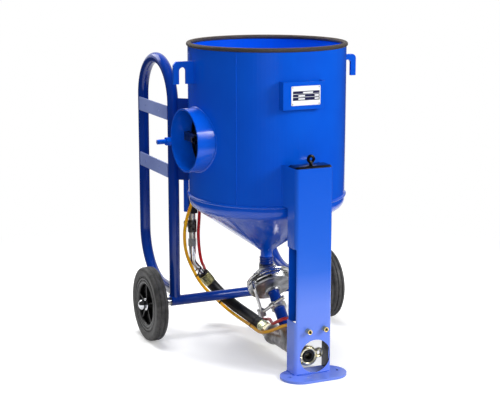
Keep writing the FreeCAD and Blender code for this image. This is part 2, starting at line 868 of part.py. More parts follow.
washer_end = hub_inner - spin_gap
spacer_end = washer_end - washer_sheet
spacer_length = spacer_end - beam_reach
spacer = ring((beam_reach, axle_y, axle_z), (1, 0, 0), spacer_r, axle_r, spacer_length)
washer = ring((spacer_end, axle_y, axle_z), (1, 0, 0), washer_r, axle_r, washer_sheet)
save("axle_washers", both_sides(spacer.fuse(washer)))


# Metering valve

joint = gasket_sheet / 2
chamber_r = bowl_r - bowl_wall
disc_low = joint + chamber_depth - disc_depth - disc_gap


def in_slot(radius, depth, low, spread):
    """A wedge round the valve's axis that covers the arm's sweep."""
    width = arm_width / 2 + spread
    arm = block((0, -width, low), (radius, width, low + depth))
    steps = 6
    wedge = None
    for k in range(steps + 1):
        turned_arm = arm.copy()
        turned_arm.rotate(V(0, 0, 0), UP, arm_turn - k * lever_range / steps)
        wedge = turned_arm if wedge is None else wedge.fuse(turned_arm)
    return wedge


upper_low = -joint - flange_sheet - flange_groove - flange_lip


def plug_side(shape):
    """Turns a shape drawn along the valve's +x to the side that holds the plug."""
    moved = shape.copy()
    moved.rotate(V(0, 0, 0), UP, plug_port_turn)
    return in_valve(moved)


def valve_upper_body():
    lip_low = upper_low + flange_lip
    sheet_low = -joint - flange_sheet
    dome = turned([(0, -joint), (flange_r, -joint), (flange_r, sheet_low), (flange_r - flange_groove, sheet_low),
                   (flange_r - flange_groove, lip_low), (flange_r, lip_low), (flange_r, upper_low),
                   (dome_r, upper_low), (dome_r - 4, upper_low - dome_height / 3),
                   (dome_top_r, upper_low - dome_height), (0, upper_low - dome_height)])
    inlet_low = valve_z - dome_r / 2
    inlet = cylinder((0, 0, inlet_low), (0, 0, 1), inlet_r, inlet_top_z - inlet_low)
    below = in_valve(block((-flange_r, -flange_r, -joint), (flange_r, flange_r, flange_r)))
    boss_low = upper_low - plug_boss
    boss = block((dome_top_r, -plug_boss / 2, boss_low), (dome_r + plug_boss_out, plug_boss / 2, upper_low))
    body = in_valve(dome).fuse(inlet.cut(below)).fuse(plug_side(boss))
    body = body.cut(cylinder((0, 0, inlet_low - dome_r), (0, 0, 1), inlet_bore, inlet_top_z))
    for x, y in bolt_places():
        hole = cylinder((x, y, upper_low), (0, 0, 1), valve_bolt_r, -joint - upper_low)
        body = body.cut(in_valve(hole))
    return body.removeSplitter()


def bolt_places():
    places = []
    for k in range(valve_bolts):
        turn = math.radians(30 + k * 360 / valve_bolts)
        places.append((valve_bolt_ring * math.cos(turn), valve_bolt_ring * math.sin(turn)))
    return places


def valve_lower_body():
    flange = cylinder((0, 0, joint), (0, 0, 1), flange_r, flange_sheet)
    bowl = turned([(0, joint), (bowl_r, joint), (bowl_r, bowl_depth - bowl_round),
                   (bowl_r - bowl_round, bowl_depth), (0, bowl_depth)])
    nose = cylinder((0, 0, bowl_depth), (0, 0, 1), nose_r, nose_depth)
    body = flange.fuse(bowl).fuse(nose)
    body = body.cut(cylinder((0, 0, joint), (0, 0, 1), chamber_r, chamber_depth))
    body = body.cut(cylinder((0, 0, joint), (0, 0, 1), wye_bore, bowl_depth + nose_depth))
    body = body.cut(cylinder((0, 0, pipe_start), (0, 0, 1), pipe_r, bowl_depth))
    body = body.cut(in_slot(bowl_r + 10, disc_depth + 2 * arm_play, disc_low - arm_play, arm_play))
    for x, y in bolt_places():
        body = body.cut(cylinder((x, y, joint), (0, 0, 1), valve_bolt_r, flange_sheet))
    return in_valve(body.removeSplitter())


def valve_bolt_set():
    solids = []
    for x, y in bolt_places():
        shank = cylinder((x, y, upper_low), (0, 0, 1), valve_bolt_r, joint + flange_sheet - upper_low)
        head_depth = 1.4 * valve_bolt_r
        head = hexagon((x, y, upper_low - head_depth), (0, 0, 1), valve_bolt_across, head_depth)
        solids.append(in_valve(shank.fuse(head).removeSplitter()))
    return Part.makeCompound(solids)


def valve_gasket():
    sheet = ring((0, 0, -joint), (0, 0, 1), flange_r - 2, chamber_r, gasket_sheet)
    for x, y in bolt_places():
        sheet = sheet.cut(cylinder((x, y, -joint), (0, 0, 1), valve_bolt_r, gasket_sheet))
    return in_valve(sheet)


def metering_disc():
    disc = cylinder((0, 0, disc_low), (0, 0, 1), chamber_r - disc_gap, disc_depth)
    arm = block((0, -arm_width / 2, disc_low), (arm_reach, arm_width / 2, disc_low + disc_depth))
    arm.rotate(V(0, 0, 0), UP, arm_turn)
    port = cylinder((chamber_r / 2, -chamber_r / 4, disc_low), (0, 0, 1), disc_port_r, disc_depth)
    return in_valve(disc.fuse(arm).cut(port).removeSplitter())


# The lever's bar hangs from the disc's arm and carries a block; the rod runs from the
# block past the outlet pipe, and a collar on the pipe holds it.
arm_angle = math.radians(arm_turn)
rod_turn = math.radians(lever_rod_turn)
rod_dir = V(math.cos(rod_turn), math.sin(rod_turn), 0)
rod_foot = V(-rod_dir.y * lever_offset, rod_dir.x * lever_offset, lever_plane)
rod_start = rod_foot - rod_dir * (lever_rod_length / 2)
rod_end = rod_start + rod_dir * lever_rod_length
knee = V(arm_reach * math.cos(arm_angle), arm_reach * math.sin(arm_angle), lever_knee)


def lever_bar():
    pin_low = disc_low + disc_depth
    pin = cylinder((knee.x, knee.y, pin_low), (0, 0, 1), lever_bar_r, lever_knee - pin_low)
    bend = Part.makeSphere(lever_bar_r, knee)
    bar = cylinder(knee, rod_start - knee, lever_bar_r, (rod_start - knee).Length)
    hole = cylinder(rod_start, rod_dir, lever_rod_r, lever_rod_length)
    solid = pin.fuse(bend).fuse(bar).fuse(lever_block_solid())
    socket = cylinder(rod_start, -rod_dir, lever_rod_r, lever_rod_r)
    return in_valve(solid.cut(hole).cut(socket).removeSplitter())


def lever_block_solid():
    along = rod_start - knee
    along.normalize()
    half = lever_block / 2
    solid = block((-half, -half, -lever_block_length / 2), (half, half, lever_block_length / 2))
    return placed(solid, rod_start, along)


def lever_rod():
    rod = cylinder(rod_start, rod_dir, lever_rod_r, lever_rod_length)
    ball = Part.makeSphere(lever_ball_r, rod_end)
    return in_valve(rod.fuse(ball).removeSplitter())


def lever_collar():
    low = lever_plane - lever_collar_depth / 2
    solid = cylinder((0, 0, low), (0, 0, 1), lever_collar_r, lever_collar_depth)
    boss_start = rod_foot - rod_dir * lever_collar_depth / 2
    solid = solid.fuse(cylinder(boss_start, rod_dir, lever_rod_r + 4, lever_collar_depth))
    solid = solid.cut(cylinder((0, 0, low), (0, 0, 1), pipe_r + slide_gap, lever_collar_depth))
    return in_valve(solid.cut(cylinder(rod_start, rod_dir, lever_rod_r, lever_rod_length)))


def cleanout_plug():
    """The hexagon plug on the boss's face and the locking pin beside it."""
    middle = upper_low - plug_boss / 2
    plug_head = hexagon((dome_r + plug_boss_out, 0, middle), (1, 0, 0), 1.7 * plug_port_r, plug_port_r)
    pin_x = dome_r + plug_boss_out - 2 * plug_pin_r
    pin = cylinder((pin_x, 0, upper_low - plug_boss), (0, 0, -1), plug_pin_r, plug_pin_length)
    return [plug_side(plug_head), plug_side(pin)]


save("valve_upper_body", Part.makeCompound([valve_upper_body()] + cleanout_plug()))
save("valve_lower_body", valve_lower_body())
save("valve_gasket", valve_gasket())
save("valve_bolts", valve_bolt_set())
save("metering_disc", metering_disc())
save("lever_bar", lever_bar())
save("lever_rod", lever_rod())
save("lever_collar", lever_collar())


# Outlet

def outlet_pipe():
    length = branch_reach - branch_length + branch_socket - pipe_start
    return in_valve(ring((0, 0, pipe_start), (0, 0, 1), pipe_r, pipe_r - pipe_wall, length))


def mixing_wye():
    run = wye_back - wye_front
    along = (0, -1, 0)
    up_pipe = -valve_axis
    branch_point = V(0, branch_y, wye_z)
    body = cylinder((0, wye_back, wye_z), along, wye_r, run)
    body = body.fuse(cylinder((0, wye_back, wye_z), along, wye_flange_r, wye_flange_depth))
    body = body.fuse(cylinder(branch_point, up_pipe, branch_r, branch_length))
    body = body.cut(cylinder((0, wye_back, wye_z), along, wye_bore, run))
    body = body.cut(cylinder(branch_point, up_pipe, wye_bore, branch_length))
    socket = branch_point + up_pipe * (branch_length - branch_socket)
    body = body.cut(cylinder(socket, up_pipe, pipe_r, branch_socket))
    return body.removeSplitter()


claw_face = wye_front - claw_hex_depth - claw_flange_depth


def blast_coupling():
    along = (0, -1, 0)
    body = hexagon((0, wye_front, wye_z), along, claw_hex, claw_hex_depth)
    body = body.fuse(cylinder((0, wye_front - claw_hex_depth, wye_z), along, claw_flange_r, claw_flange_depth))
    for side in (-1, 1):
        low = min(side * claw_seal_r, side * claw_r)
        high = max(side * claw_seal_r, side * claw_r)
        claw = block((low, claw_face - claw_depth, -claw_width / 2), (high, claw_face + claw_flange_depth / 2,
                                                                      claw_width / 2))
        claw = claw.cut(cylinder((0, claw_face - claw_depth, 0), (0, 1, 0), claw_seal_r + 6, claw_depth))
        claw.rotate(V(0, 0, 0), Y_AXIS, -35)
        claw.translate(V(0, 0, wye_z))
        body = body.fuse(claw)
    body = body.cut(cylinder((0, wye_front, wye_z), along, claw_seal_bore, wye_front - claw_face))
    seat_depth = claw_seal_depth / 2
    body = body.cut(cylinder((0, claw_face + seat_depth, wye_z), along, claw_seal_r, claw_depth + seat_depth))
    return body.removeSplitter()


coupling_gasket = ring((0, claw_face + claw_seal_depth / 2, wye_z), (0, -1, 0), claw_seal_r, claw_seal_bore,
                       claw_seal_depth)
save("outlet_pipe", outlet_pipe())
save("mixing_wye", mixing_wye())
save("blast_coupling", blast_coupling())
save("coupling_gasket", coupling_gasket)


# Air line

def remote_valve():
    body_low = stack_levels[2]
    body_high = stack_levels[1]
    body = cylinder((stack_x, stack_y, body_low), (0, 0, 1), body_r, body_high - body_low)
    port_z = (body_low + body_high) / 2
    length = branch_port_y - stack_y
    body = body.fuse(cylinder((stack_x, stack_y, port_z), (0, 1, 0), branch_port_r + 3, body_r + 8))
    body = body.fuse(cylinder((stack_x, stack_y, port_z), (0, 1, 0), branch_port_r, length))
    body = body.cut(cylinder((stack_x, stack_y, body_low), (0, 0, 1), union_bore, body_high - body_low))
    body = body.cut(cylinder((stack_x, stack_y, port_z), (0, 1, 0), branch_port_bore, length))
    return body.removeSplitter()


def stack_nipples():
    solids = []
    for k in (0, 2):
        low = stack_levels[k + 1]
        height = stack_levels[k] - low
        solids.append(ring((stack_x, stack_y, low), (0, 0, 1), nipple_r, union_bore, height))
    return solids


def union_nut():
    low = stack_levels[4]
    depth = stack_levels[3] - low
    nut = hexagon((stack_x, stack_y, low), (0, 0, 1), union_across, depth)
    return nut.cut(cylinder((stack_x, stack_y, low), (0, 0, 1), union_bore, depth))


run_up = (stack_x - pusher_route[0][0]) / tail_turn[0]
tail_corner = V(*pusher_route[0]) + V(*tail_turn) * run_up
tail_wire = route([(stack_x, stack_y, stack_levels[5]), tail_corner, pusher_route[0]])[0]
pusher_wire, pusher_radii = route(pusher_route)
yellow_wire, yellow_radii = route(yellow_route)
red_wire, red_radii = route(red_route)


def hose_tail():
    top = stack_levels[4]
    low = stack_levels[5]
    start = (stack_x, stack_y, low)
    collar = cylinder(start, (0, 0, 1), nipple_r + 1, top - low)
    return swept(tail_wire, tail_r).fuse(collar).removeSplitter()


def air_manifold():
    half = manifold_size / 2
    low = (stack_x - half + 3, stack_y - half, manifold_low_z)
    body = block(low, (stack_x + half + 3, stack_y + half, manifold_high_z))
    return body


def hose_elbows():
    solids = []
    half = manifold_size / 2
    yellow_x, yellow_y, yellow_z = yellow_route[0]
    red_x, red_y, red_z = red_route[0]
    for x, y, start, direction, length in (
            (yellow_x, yellow_y, (yellow_x, stack_y - half, elbow_z), (0, -1, 0), stack_y - half - yellow_y),
            (red_x, red_y, (stack_x + half + 3, red_y, elbow_z), (1, 0, 0), red_x - stack_x - half - 3)):
        arm = cylinder(start, direction, elbow_r, length)
        drop = cylinder((x, y, elbow_low_z), (0, 0, 1), elbow_r, elbow_z - elbow_low_z)
        solids.append(arm.fuse(drop).fuse(Part.makeSphere(elbow_r, V(x, y, elbow_z))).removeSplitter())
    return solids


def air_pipe():
    end = pipe_inward * -standpipe_r
    points = [(air_pipe_x, stack_y, air_pipe_low_z), (air_pipe_x, stack_y, air_pipe_high_z)]
    points.append((end.x, end.y, air_pipe_high_z))
    wire, radii = route(points, [air_pipe_bend])
    standpipe_low_z = standpipe_top_z - standpipe_length
    standpipe_solid = cylinder((0, 0, standpipe_low_z), (0, 0, 1), standpipe_r, standpipe_length)
    return swept(wire, air_pipe_r).cut(swept(wire, air_pipe_r - air_pipe_wall)).cut(standpipe_solid)


pusher_hose = hose("pusher_hose", pusher_wire, pusher_radii, hose_r)
yellow_hose = hose("yellow_hose", yellow_wire, yellow_radii, control_hose_r)
red_hose = hose("red_hose", red_wire, red_radii, control_hose_r)
hose_tail_solid = hose_tail()


def hose_ends():
    """The two ferrules and the swivel nut on the wye."""
    solids = []
    ends = [(pusher_route[0], pusher_route[1]), (pusher_route[-1], pusher_route[-2])]
    for start, towards in ends:
        direction = V(*towards) - V(*start)
        first = V(*start) + V(*direction).normalize() * ferrule_stand
        length = min(ferrule_length, direction.Length * ferrule_share)
        solids.append(ring(first, direction, ferrule_r, hose_r, length))
    start = pusher_route[-1]
    length = start[1] - wye_back
    nut = hexagon((0, start[1], wye_z), (0, -1, 0), hose_nut_across, length)
    nut = nut.cut(cylinder((0, start[1], wye_z), (0, -1, 0), wye_bore, length))
    return Part.makeCompound(solids + [nut.cut(pusher_hose)])


def zip_tie(wire, radius, share, other_wire, other_radius):
    """A flat band pulled round two round hoses, with its head."""
    samples = wire.discretize(Number=400)
    at = int(share * 399)
    centre = samples[at]
    along = samples[at + 1] - samples[at - 1]
    along.normalize()
    other = min(other_wire.discretize(Number=800), key=lambda point: (point - centre).Length)
    across = other - centre
    across = across - along * across.dot(along)
    apart = across.Length
    turn = math.acos((radius - other_radius) / apart)
    faces = []
    for outward in (tie_sheet, 0.0):
        near = radius + outward
        far = other_radius + outward
        near_x, near_y = near * math.cos(turn), near * math.sin(turn)
        far_x, far_y = apart + far * math.cos(turn), far * math.sin(turn)
        edges = [arc((near_x, near_y, 0), (-near, 0, 0), (near_x, -near_y, 0)),
                 line((near_x, -near_y, 0), (far_x, -far_y, 0)),
                 arc((far_x, -far_y, 0), (apart + far, 0, 0), (far_x, far_y, 0)),
                 line((far_x, far_y, 0), (near_x, near_y, 0))]
        faces.append(Part.Face(Part.Wire(edges)))
    band = faces[0].cut(faces[1]).extrude(V(0, 0, tie_width))
    half = tie_head / 2
    side_x = (near_x + far_x) / 2
    side_y = (near_y + far_y) / 2
    head = block((side_x - half, side_y + tie_sheet / 2, 0), (side_x + half, side_y + tie_head, tie_width))
    band = band.fuse(head)
    band.Placement = FreeCAD.Placement(centre, FreeCAD.Rotation(across, along.cross(across), along, "ZXY"))
    for solid in (pusher_hose, yellow_hose, red_hose, hose_tail_solid):
        band = band.cut(solid)
    return band.removeSplitter()


def zip_ties():
    ties = []
    for place in hose_tie_places:
        ties.append(zip_tie(pusher_wire, hose_r, place, yellow_wire, control_hose_r))
    ties.append(zip_tie(tail_wire, tail_r, tail_tie_place, yellow_wire, control_hose_r))
    return Part.makeCompound(ties)


save("remote_valve", remote_valve())
save("stack_fittings", Part.makeCompound(stack_nipples() + [union_nut()]))
save("hose_tail", hose_tail_solid)
save("air_manifold", Part.makeCompound([air_manifold()] + hose_elbows()))
save("air_pipe", air_pipe())
save("hose_ends", hose_ends())
save("pusher_hose", pusher_hose)
save("yellow_hose", yellow_hose)
save("red_hose", red_hose)
save("zip_ties", zip_ties())
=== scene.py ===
import json
import math
import random

import bmesh
import bpy
from bpy.props import FloatProperty, FloatVectorProperty, IntProperty, PointerProperty
from mathutils import Matrix, Vector


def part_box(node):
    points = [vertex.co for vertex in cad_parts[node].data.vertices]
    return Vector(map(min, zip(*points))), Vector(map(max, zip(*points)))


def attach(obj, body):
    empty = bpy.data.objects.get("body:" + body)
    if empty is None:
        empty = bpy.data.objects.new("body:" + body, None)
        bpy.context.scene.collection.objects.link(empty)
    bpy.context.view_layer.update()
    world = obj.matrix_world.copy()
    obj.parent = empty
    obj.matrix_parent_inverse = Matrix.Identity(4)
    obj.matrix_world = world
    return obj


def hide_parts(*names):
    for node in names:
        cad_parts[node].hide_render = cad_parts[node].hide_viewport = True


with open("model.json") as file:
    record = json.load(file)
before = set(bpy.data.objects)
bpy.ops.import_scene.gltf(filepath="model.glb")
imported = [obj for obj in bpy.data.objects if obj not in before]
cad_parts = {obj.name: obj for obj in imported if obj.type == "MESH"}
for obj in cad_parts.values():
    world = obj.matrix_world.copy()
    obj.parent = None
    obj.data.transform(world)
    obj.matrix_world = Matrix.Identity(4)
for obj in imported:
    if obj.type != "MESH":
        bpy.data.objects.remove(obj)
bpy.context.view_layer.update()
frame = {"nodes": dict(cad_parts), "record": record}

bl_info = {
    "name": "Abrasive Blast Pot",
    "version": (1, 0, 0),
    "blender": (4, 5, 0),
    "location": "View3D > Sidebar > Blast Pot",
    "description": "Dresses the packed blast pot: enamel, castings, hoses, wheels and welds",
    "category": "Object",
}

MM = 0.001
TAU = 2 * math.pi
UP = Vector((0, 0, 1))


def centre_of(node):
    low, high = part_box(node)
    return (low + high) / 2


# Where the vessel's axis stands along Y, in metres: a little in front of the part's origin.
AXIS_Y = centre_of("bottom_cone").y
SHIFT = Vector((0, AXIS_Y / MM, 0))
VALVE_AXIS = Vector((0, -1, -1)).normalized()

# Level direction in which the camera looks. It stands left of the vessel's axis, in front of it
# and above the floor by these metres, and looks down and to the right by these degrees.
VIEW = Vector((0.415, 0.91, 0))
EYE_LEFT, EYE_FRONT, EYE_HEIGHT = 2.1767, 4.6088, 1.6539
EYE_PITCH, EYE_TURN = 11.752, 24.551

# The studio, in metres: where the paper turns plain white, and where its near and side edges
# fade for gloss. The backdrop starts and is full at these cosines from the view's direction.
FLOOR_HALF, FLOOR_DROP = 30.0, 0.0005
PAPER_MATTE, PAPER_WHITE = 0.9, 2.2
SHEET_NEAR, SHEET_SIDE = (-2.1, -1.7), (1.7, 1.1)
BACKDROP_START, BACKDROP_FULL, BACKDROP_LEVEL = 0.3, 0.75, 0.8
LAMP_AIM = Vector((0, 0, 0.6))

# Sizes of the pot that the details follow, in mm and degrees about the vessel's axis.
TANK_R = 305.0
GIRTH_Z, HEAD_SEAM_Z = 626.0, 1139.5
NECK_R, NECK_Z = 25.0, 403.0
UPRIGHT_TURN, UPRIGHT_LOW_Z, UPRIGHT_TOP_Z = -137, 632.0, 1198.0
HATCH_TURN, HATCH_WELD_R, HATCH_Z = -176.4, 122, 856.5
LEG_HALF, LEG_LOW_Z, LEG_TOP_Z = 76.0, 636.0, 787.0
FOOT_Z, FOOT_BACK_Y, FOOT_SIDE_Y, FOOT_FRONT_Y, FOOT_MIDDLE_Y = 10.0, -344.0, -399.0, -412.0, -412.5
FOOT_CORNER = 13
LUG_HALF, LUG_LOW_Z, LUG_TOP_Z = 6.0, 1070.0, 1151.0
TUBE_X, TUBE_Y, TUBE_WELD_R = 286.0, 268.0, 22.5
BRACKET_HALF, BRACKET_LOW_Z, BRACKET_TOP_Z = 4.0, 656, 978
CROSSBAR_Z, CROSSBAR_WELD_R = 150.0, 20.5
# The crossbar seams are drawn with their crown this far behind the tubes' axes. The crossbar's
# own axis is as far in front of them.
CROSSBAR_CROWN = 8
BAR_X, BAR_HALF = 304.0, 27
BAR_LEVELS, BAR_ENDS = (921.0, 688.0), (284.0, 592.0)

# The thick hose's ends: where each ferrule starts, the point it runs toward, and its plating.
HOSE_ENDS = (("upper", Vector((-133, 342, 229)), Vector((-82.3, 346.4, 167.3)), "olive_zinc"),
             ("lower", Vector((0, -18, 66)), Vector((0, 80, 73)), "pale_zinc"))
FERRULE_LENGTH, FERRULE_SHARE, FERRULE_LEAD = 50.0, 0.62, 3.0


# Colours and materials

def linear(value):
    """A #rrggbb colour as linear RGBA."""
    shares = [int(value[k:k + 2], 16) / 255 for k in (1, 3, 5)]
    return tuple(s / 12.92 if s <= 0.04045 else ((s + 0.055) / 1.055) ** 2.4 for s in shares) + (1.0,)


def add(tree, kind, links=None, **settings):
    """Adds a node, sets its properties and sockets, and links its inputs."""
    node = tree.nodes.new(kind)
    for key, value in settings.items():
        setattr(node, key, value)
    for key, value in (links or {}).items():
        if isinstance(value, bpy.types.NodeSocket):
            tree.links.new(value, node.inputs[key])
        else:
            node.inputs[key].default_value = value
    return node


def surface(name, **sockets):
    """A new material, its tree, its Principled shader and its Object coordinates."""
    material = bpy.data.materials.new(name)
    material.use_nodes = True
    tree = material.node_tree
    shader = tree.nodes["Principled BSDF"]
    for key, value in sockets.items():
        shader.inputs[key.replace("_", " ")].default_value = value
    place = add(tree, "ShaderNodeTexCoord").outputs["Object"]
    material.diffuse_color = shader.inputs["Base Color"].default_value
    return material, tree, shader, place


def ramp(tree, fac, stops):
    """A colour that runs between (position, colour) stops as fac goes from 0 to 1."""
    node = add(tree, "ShaderNodeValToRGB", {"Fac": fac})
    while len(node.color_ramp.elements) < len(stops):
        node.color_ramp.elements.new(0.5)
    for element, (position, colour) in zip(node.color_ramp.elements, stops):
        element.position = position
        element.color = linear(colour) if isinstance(colour, str) else (*colour, 1.0)
    return node.outputs["Color"]


def relief(tree, shader, height, distance, strength, corner=0.0):
    """Bump from a height, over corners rounded by the given radius."""
    links = {"Height": height, "Distance": distance, "Strength": strength}
    if corner:
        links["Normal"] = add(tree, "ShaderNodeBevel", {"Radius": corner}, samples=4).outputs["Normal"]
    bump = add(tree, "ShaderNodeBump", links)
    tree.links.new(bump.outputs["Normal"], shader.inputs["Normal"])


def noise(tree, place, size, detail=3.0):
    """Noise whose patches are about size metres across."""
    return add(tree, "ShaderNodeTexNoise", {"Vector": place, "Scale": 1 / size, "Detail": detail,
                                            "Roughness": 0.55}).outputs["Fac"]


def tinted(tree, shader, share, *stops):
    """Gives the shader a base colour that runs between stops."""
    tree.links.new(ramp(tree, share, stops), shader.inputs["Base Color"])


def orange_peel(tree, shader, place):
    """The faint ripple of sprayed enamel."""
    relief(tree, shader, noise(tree, place, 0.004, 1.0), 0.00012, 0.22, 0.0015)


def radius_from(tree, place, centre, axis):
    """The distance, in metres, of a point from the line through centre along axis."""
    turn = Vector(axis).rotation_difference(UP).to_euler()
    moved = add(tree, "ShaderNodeVectorMath", {0: place, 1: Vector(centre)}, operation="SUBTRACT").outputs[0]
    turned = add(tree, "ShaderNodeVectorRotate", {"Vector": moved, "Rotation": turn},
                 rotation_type="EULER_XYZ").outputs[0]
    flat = add(tree, "ShaderNodeVectorMath", {0: turned, 1: (1, 1, 0)}, operation="MULTIPLY").outputs[0]
    return add(tree, "ShaderNodeVectorMath", {0: flat}, operation="LENGTH").outputs["Value"]


def blended(tree, share, first, second):
    """A colour between two, by share."""
    mix = add(tree, "ShaderNodeMix", {"Factor": share}, data_type="RGBA")
    for socket, value in ((mix.inputs[6], first), (mix.inputs[7], second)):
        if isinstance(value, bpy.types.NodeSocket):
            tree.links.new(value, socket)
        else:
            socket.default_value = linear(value)
    return mix.outputs[2]


def span(tree, value, low, high, **settings):
    """0 at low, 1 at high."""
    return add(tree, "ShaderNodeMapRange", {"Value": value, "From Min": low, "From Max": high},
               **settings).outputs["Result"]


def gloss_enamel(name, colours, size=0.22, coat=0.2):
    # Stove enamel sprayed over welded steel: an even blue under a clear gloss, with a faint
    # orange peel of about 4 mm that breaks up its reflections.
    material, tree, shader, place = surface(name, Roughness=0.16, IOR=1.45, Coat_Weight=coat,
                                            Coat_Roughness=0.04, Coat_IOR=1.5)
    tinted(tree, shader, noise(tree, place, size, 2.0), (0.35, colours[0]), (0.65, colours[1]))
    orange_peel(tree, shader, place)
    return material


def leg_enamel():
    # The same enamel on the leg, painted paler toward the foot: a painted reflection of the white floor.
    material, tree, shader, place = surface(
        "Gloss blue enamel on the leg", Roughness=0.24, IOR=1.45, Coat_Weight=0.35, Coat_Roughness=0.06,
        Coat_IOR=1.5)
    height = add(tree, "ShaderNodeSeparateXYZ", {"Vector": place}).outputs["Z"]
    # Painted reflection of the floor: pale lavender blue at the foot, deep blue higher up.
    paint = ramp(tree, span(tree, height, 0.0, 0.8),
                 [(0.0, "#6d8af0"), (0.34, "#5a80ea"), (0.5, "#2566dc"), (1.0, "#0a56d2")])
    # Inside the channel the blue is painted near black, most of all by the foot: painted shade in the recess.
    centre = centre_of("leg_channel")
    spoke = add(tree, "ShaderNodeVectorMath", {0: place, 1: (centre.x, centre.y, 0)},
                operation="SUBTRACT").outputs[0]
    facing = add(tree, "ShaderNodeNewGeometry").outputs["True Normal"]
    level = add(tree, "ShaderNodeVectorMath", {0: facing, 1: (1, 1, 0)}, operation="MULTIPLY").outputs[0]
    outward = add(tree, "ShaderNodeVectorMath", {0: spoke, 1: level},
                  operation="DOT_PRODUCT").outputs["Value"]
    inside = add(tree, "ShaderNodeMath", {0: outward, 1: -0.001}, operation="LESS_THAN").outputs[0]
    painted_inner_shade = ramp(tree, span(tree, height, 0.05, 0.3),
                  [(0.0, "#050a26"), (0.4, "#050a26"), (1.0, "#0a48b4")])
    tree.links.new(blended(tree, inside, paint, painted_inner_shade), shader.inputs["Base Color"])
    orange_peel(tree, shader, place)
    return material


def cast_metal():
    # Sand cast aluminium: dull, grainy skin with darker hollows.
    material, tree, shader, place = surface("Sand cast aluminium", Metallic=1.0, Roughness=0.5)
    tinted(tree, shader, noise(tree, place, 0.03, 4.0), (0.3, "#8d8b8a"), (0.7, "#dad8d6"))
    relief(tree, shader, noise(tree, place, 0.0022), 0.0005, 0.7, 0.0015)
    return material


def valve_metal():
    # The valve's cast aluminium, machined bright where the two flanges meet: grainy and grey
    # inside, smooth and near white along the rims.
    material, tree, shader, place = surface("Cast and machined aluminium", Metallic=1.0, Roughness=0.4)
    rim = span(tree, radius_from(tree, place, centre_of("valve_gasket"), VALVE_AXIS), 0.0865, 0.0885)
    patches = noise(tree, place, 0.03, 4.0)
    skin = ramp(tree, patches, [(0.3, "#747678"), (0.7, "#b9babb")])
    tree.links.new(blended(tree, rim, skin, "#eeeeec"), shader.inputs["Base Color"])
    tree.links.new(add(tree, "ShaderNodeMapRange", {"Value": rim, "To Min": 0.34, "To Max": 0.18}).outputs[0],
                   shader.inputs["Roughness"])
    relief(tree, shader, noise(tree, place, 0.0022), 0.0004, 0.6, 0.0012)
    return material


def plated_metal(name, dark, light, rough):
    # Turned and plated steel or brass: bright, with a fine drift in tone.
    material, tree, shader, place = surface(name, Metallic=1.0, Roughness=rough)
    tinted(tree, shader, noise(tree, place, 0.012), (0.35, dark), (0.65, light))
    relief(tree, shader, noise(tree, place, 0.0012, 2.0), 0.00006, 0.35, 0.0008)
    return material


def polymer(name, dark, light, rough, grain, depth):
    # Moulded rubber or plastic: one colour, slightly mottled, with a fine matte grain.
    material, tree, shader, place = surface(name, Roughness=rough, IOR=1.45)
    tinted(tree, shader, noise(tree, place, 0.02), (0.35, dark), (0.65, light))
    relief(tree, shader, noise(tree, place, grain, 2.0), depth, 0.5, 0.001)
    return material


def wheel_material():
    # Moulded polypropylene: black in the dish, mottled grey on the rings beside the tyre.
    material, tree, shader, place = surface("Black polypropylene", Roughness=0.36, IOR=1.45)
    reach = radius_from(tree, place, centre_of("right_tyre"), (1, 0, 0))
    ring = span(tree, reach, 0.083, 0.086)
    ring_grey = ramp(tree, noise(tree, place, 0.012), [(0.35, "#333333"), (0.65, "#4a4a4a")])
    tree.links.new(blended(tree, ring, "#050505", ring_grey), shader.inputs["Base Color"])
    relief(tree, shader, noise(tree, place, 0.0012, 2.0), 0.0001, 0.5, 0.001)
    return material


def grip_trim():
    # Extruded rubber edging with a moulded grip: rows of small pips, about 5 mm apart so that
    # they show, which catch the light brown on black.
    material, tree, shader, place = surface("EPDM edging", Roughness=0.5, IOR=1.45)
    low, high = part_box("rim_trim")
    around = TAU * (high.x - low.x) / 2
    moved = add(tree, "ShaderNodeVectorMath", {0: place, 1: (low + high) / 2},
                operation="SUBTRACT").outputs[0]
    parts = add(tree, "ShaderNodeSeparateXYZ", {"Vector": moved}).outputs
    turn = add(tree, "ShaderNodeMath", {0: parts["Y"], 1: parts["X"]}, operation="ARCTAN2").outputs[0]
    pitch = 5.0 * MM
    round_rim = add(tree, "ShaderNodeMath", {0: turn, 1: around / pitch}, operation="MULTIPLY").outputs[0]
    up_rim = add(tree, "ShaderNodeMath", {0: parts["Z"], 1: TAU / pitch}, operation="MULTIPLY").outputs[0]
    waves = [add(tree, "ShaderNodeMath", {0: value}, operation="SINE").outputs[0]
             for value in (round_rim, up_rim)]
    pips = add(tree, "ShaderNodeMath", {0: waves[0], 1: waves[1]}, operation="MULTIPLY").outputs[0]
    mottle = noise(tree, place, 0.006)
    high_pips = add(tree, "ShaderNodeMath", {0: pips, 1: mottle}, operation="MULTIPLY").outputs[0]
    tinted(tree, shader, span(tree, high_pips, -0.3, 0.5), (0.3, "#141210"), (0.75, "#62564e"))
    relief(tree, shader, pips, 0.0008, 0.8)
    return material


# Shapes

def finish(name, shape, material, body, slot, *nodes, smooth=35.0):
    """Makes a piece from a bmesh, or from a mesh, ties it to its body and hides the nodes it stands for; the
    slot is not used. Edges that turn by more than smooth degrees stay sharp."""
    mesh = shape
    if isinstance(shape, bmesh.types.BMesh):
        mesh = bpy.data.meshes.new(name)
        shape.to_mesh(mesh)
        shape.free()
    mesh.materials.clear()
    mesh.materials.append(material)
    for polygon in mesh.polygons:
        polygon.use_smooth = True
    mesh.set_sharp_from_angle(angle=math.radians(smooth))
    piece = bpy.data.objects.new(name, mesh)
    bpy.context.scene.collection.objects.link(piece)
    # Large flat faces keep their own normal beside small rounded ones.
    weighted = piece.modifiers.new("weighted", "WEIGHTED_NORMAL")
    weighted.keep_sharp = True
    if nodes:
        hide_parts(*nodes)
    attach(piece, body)


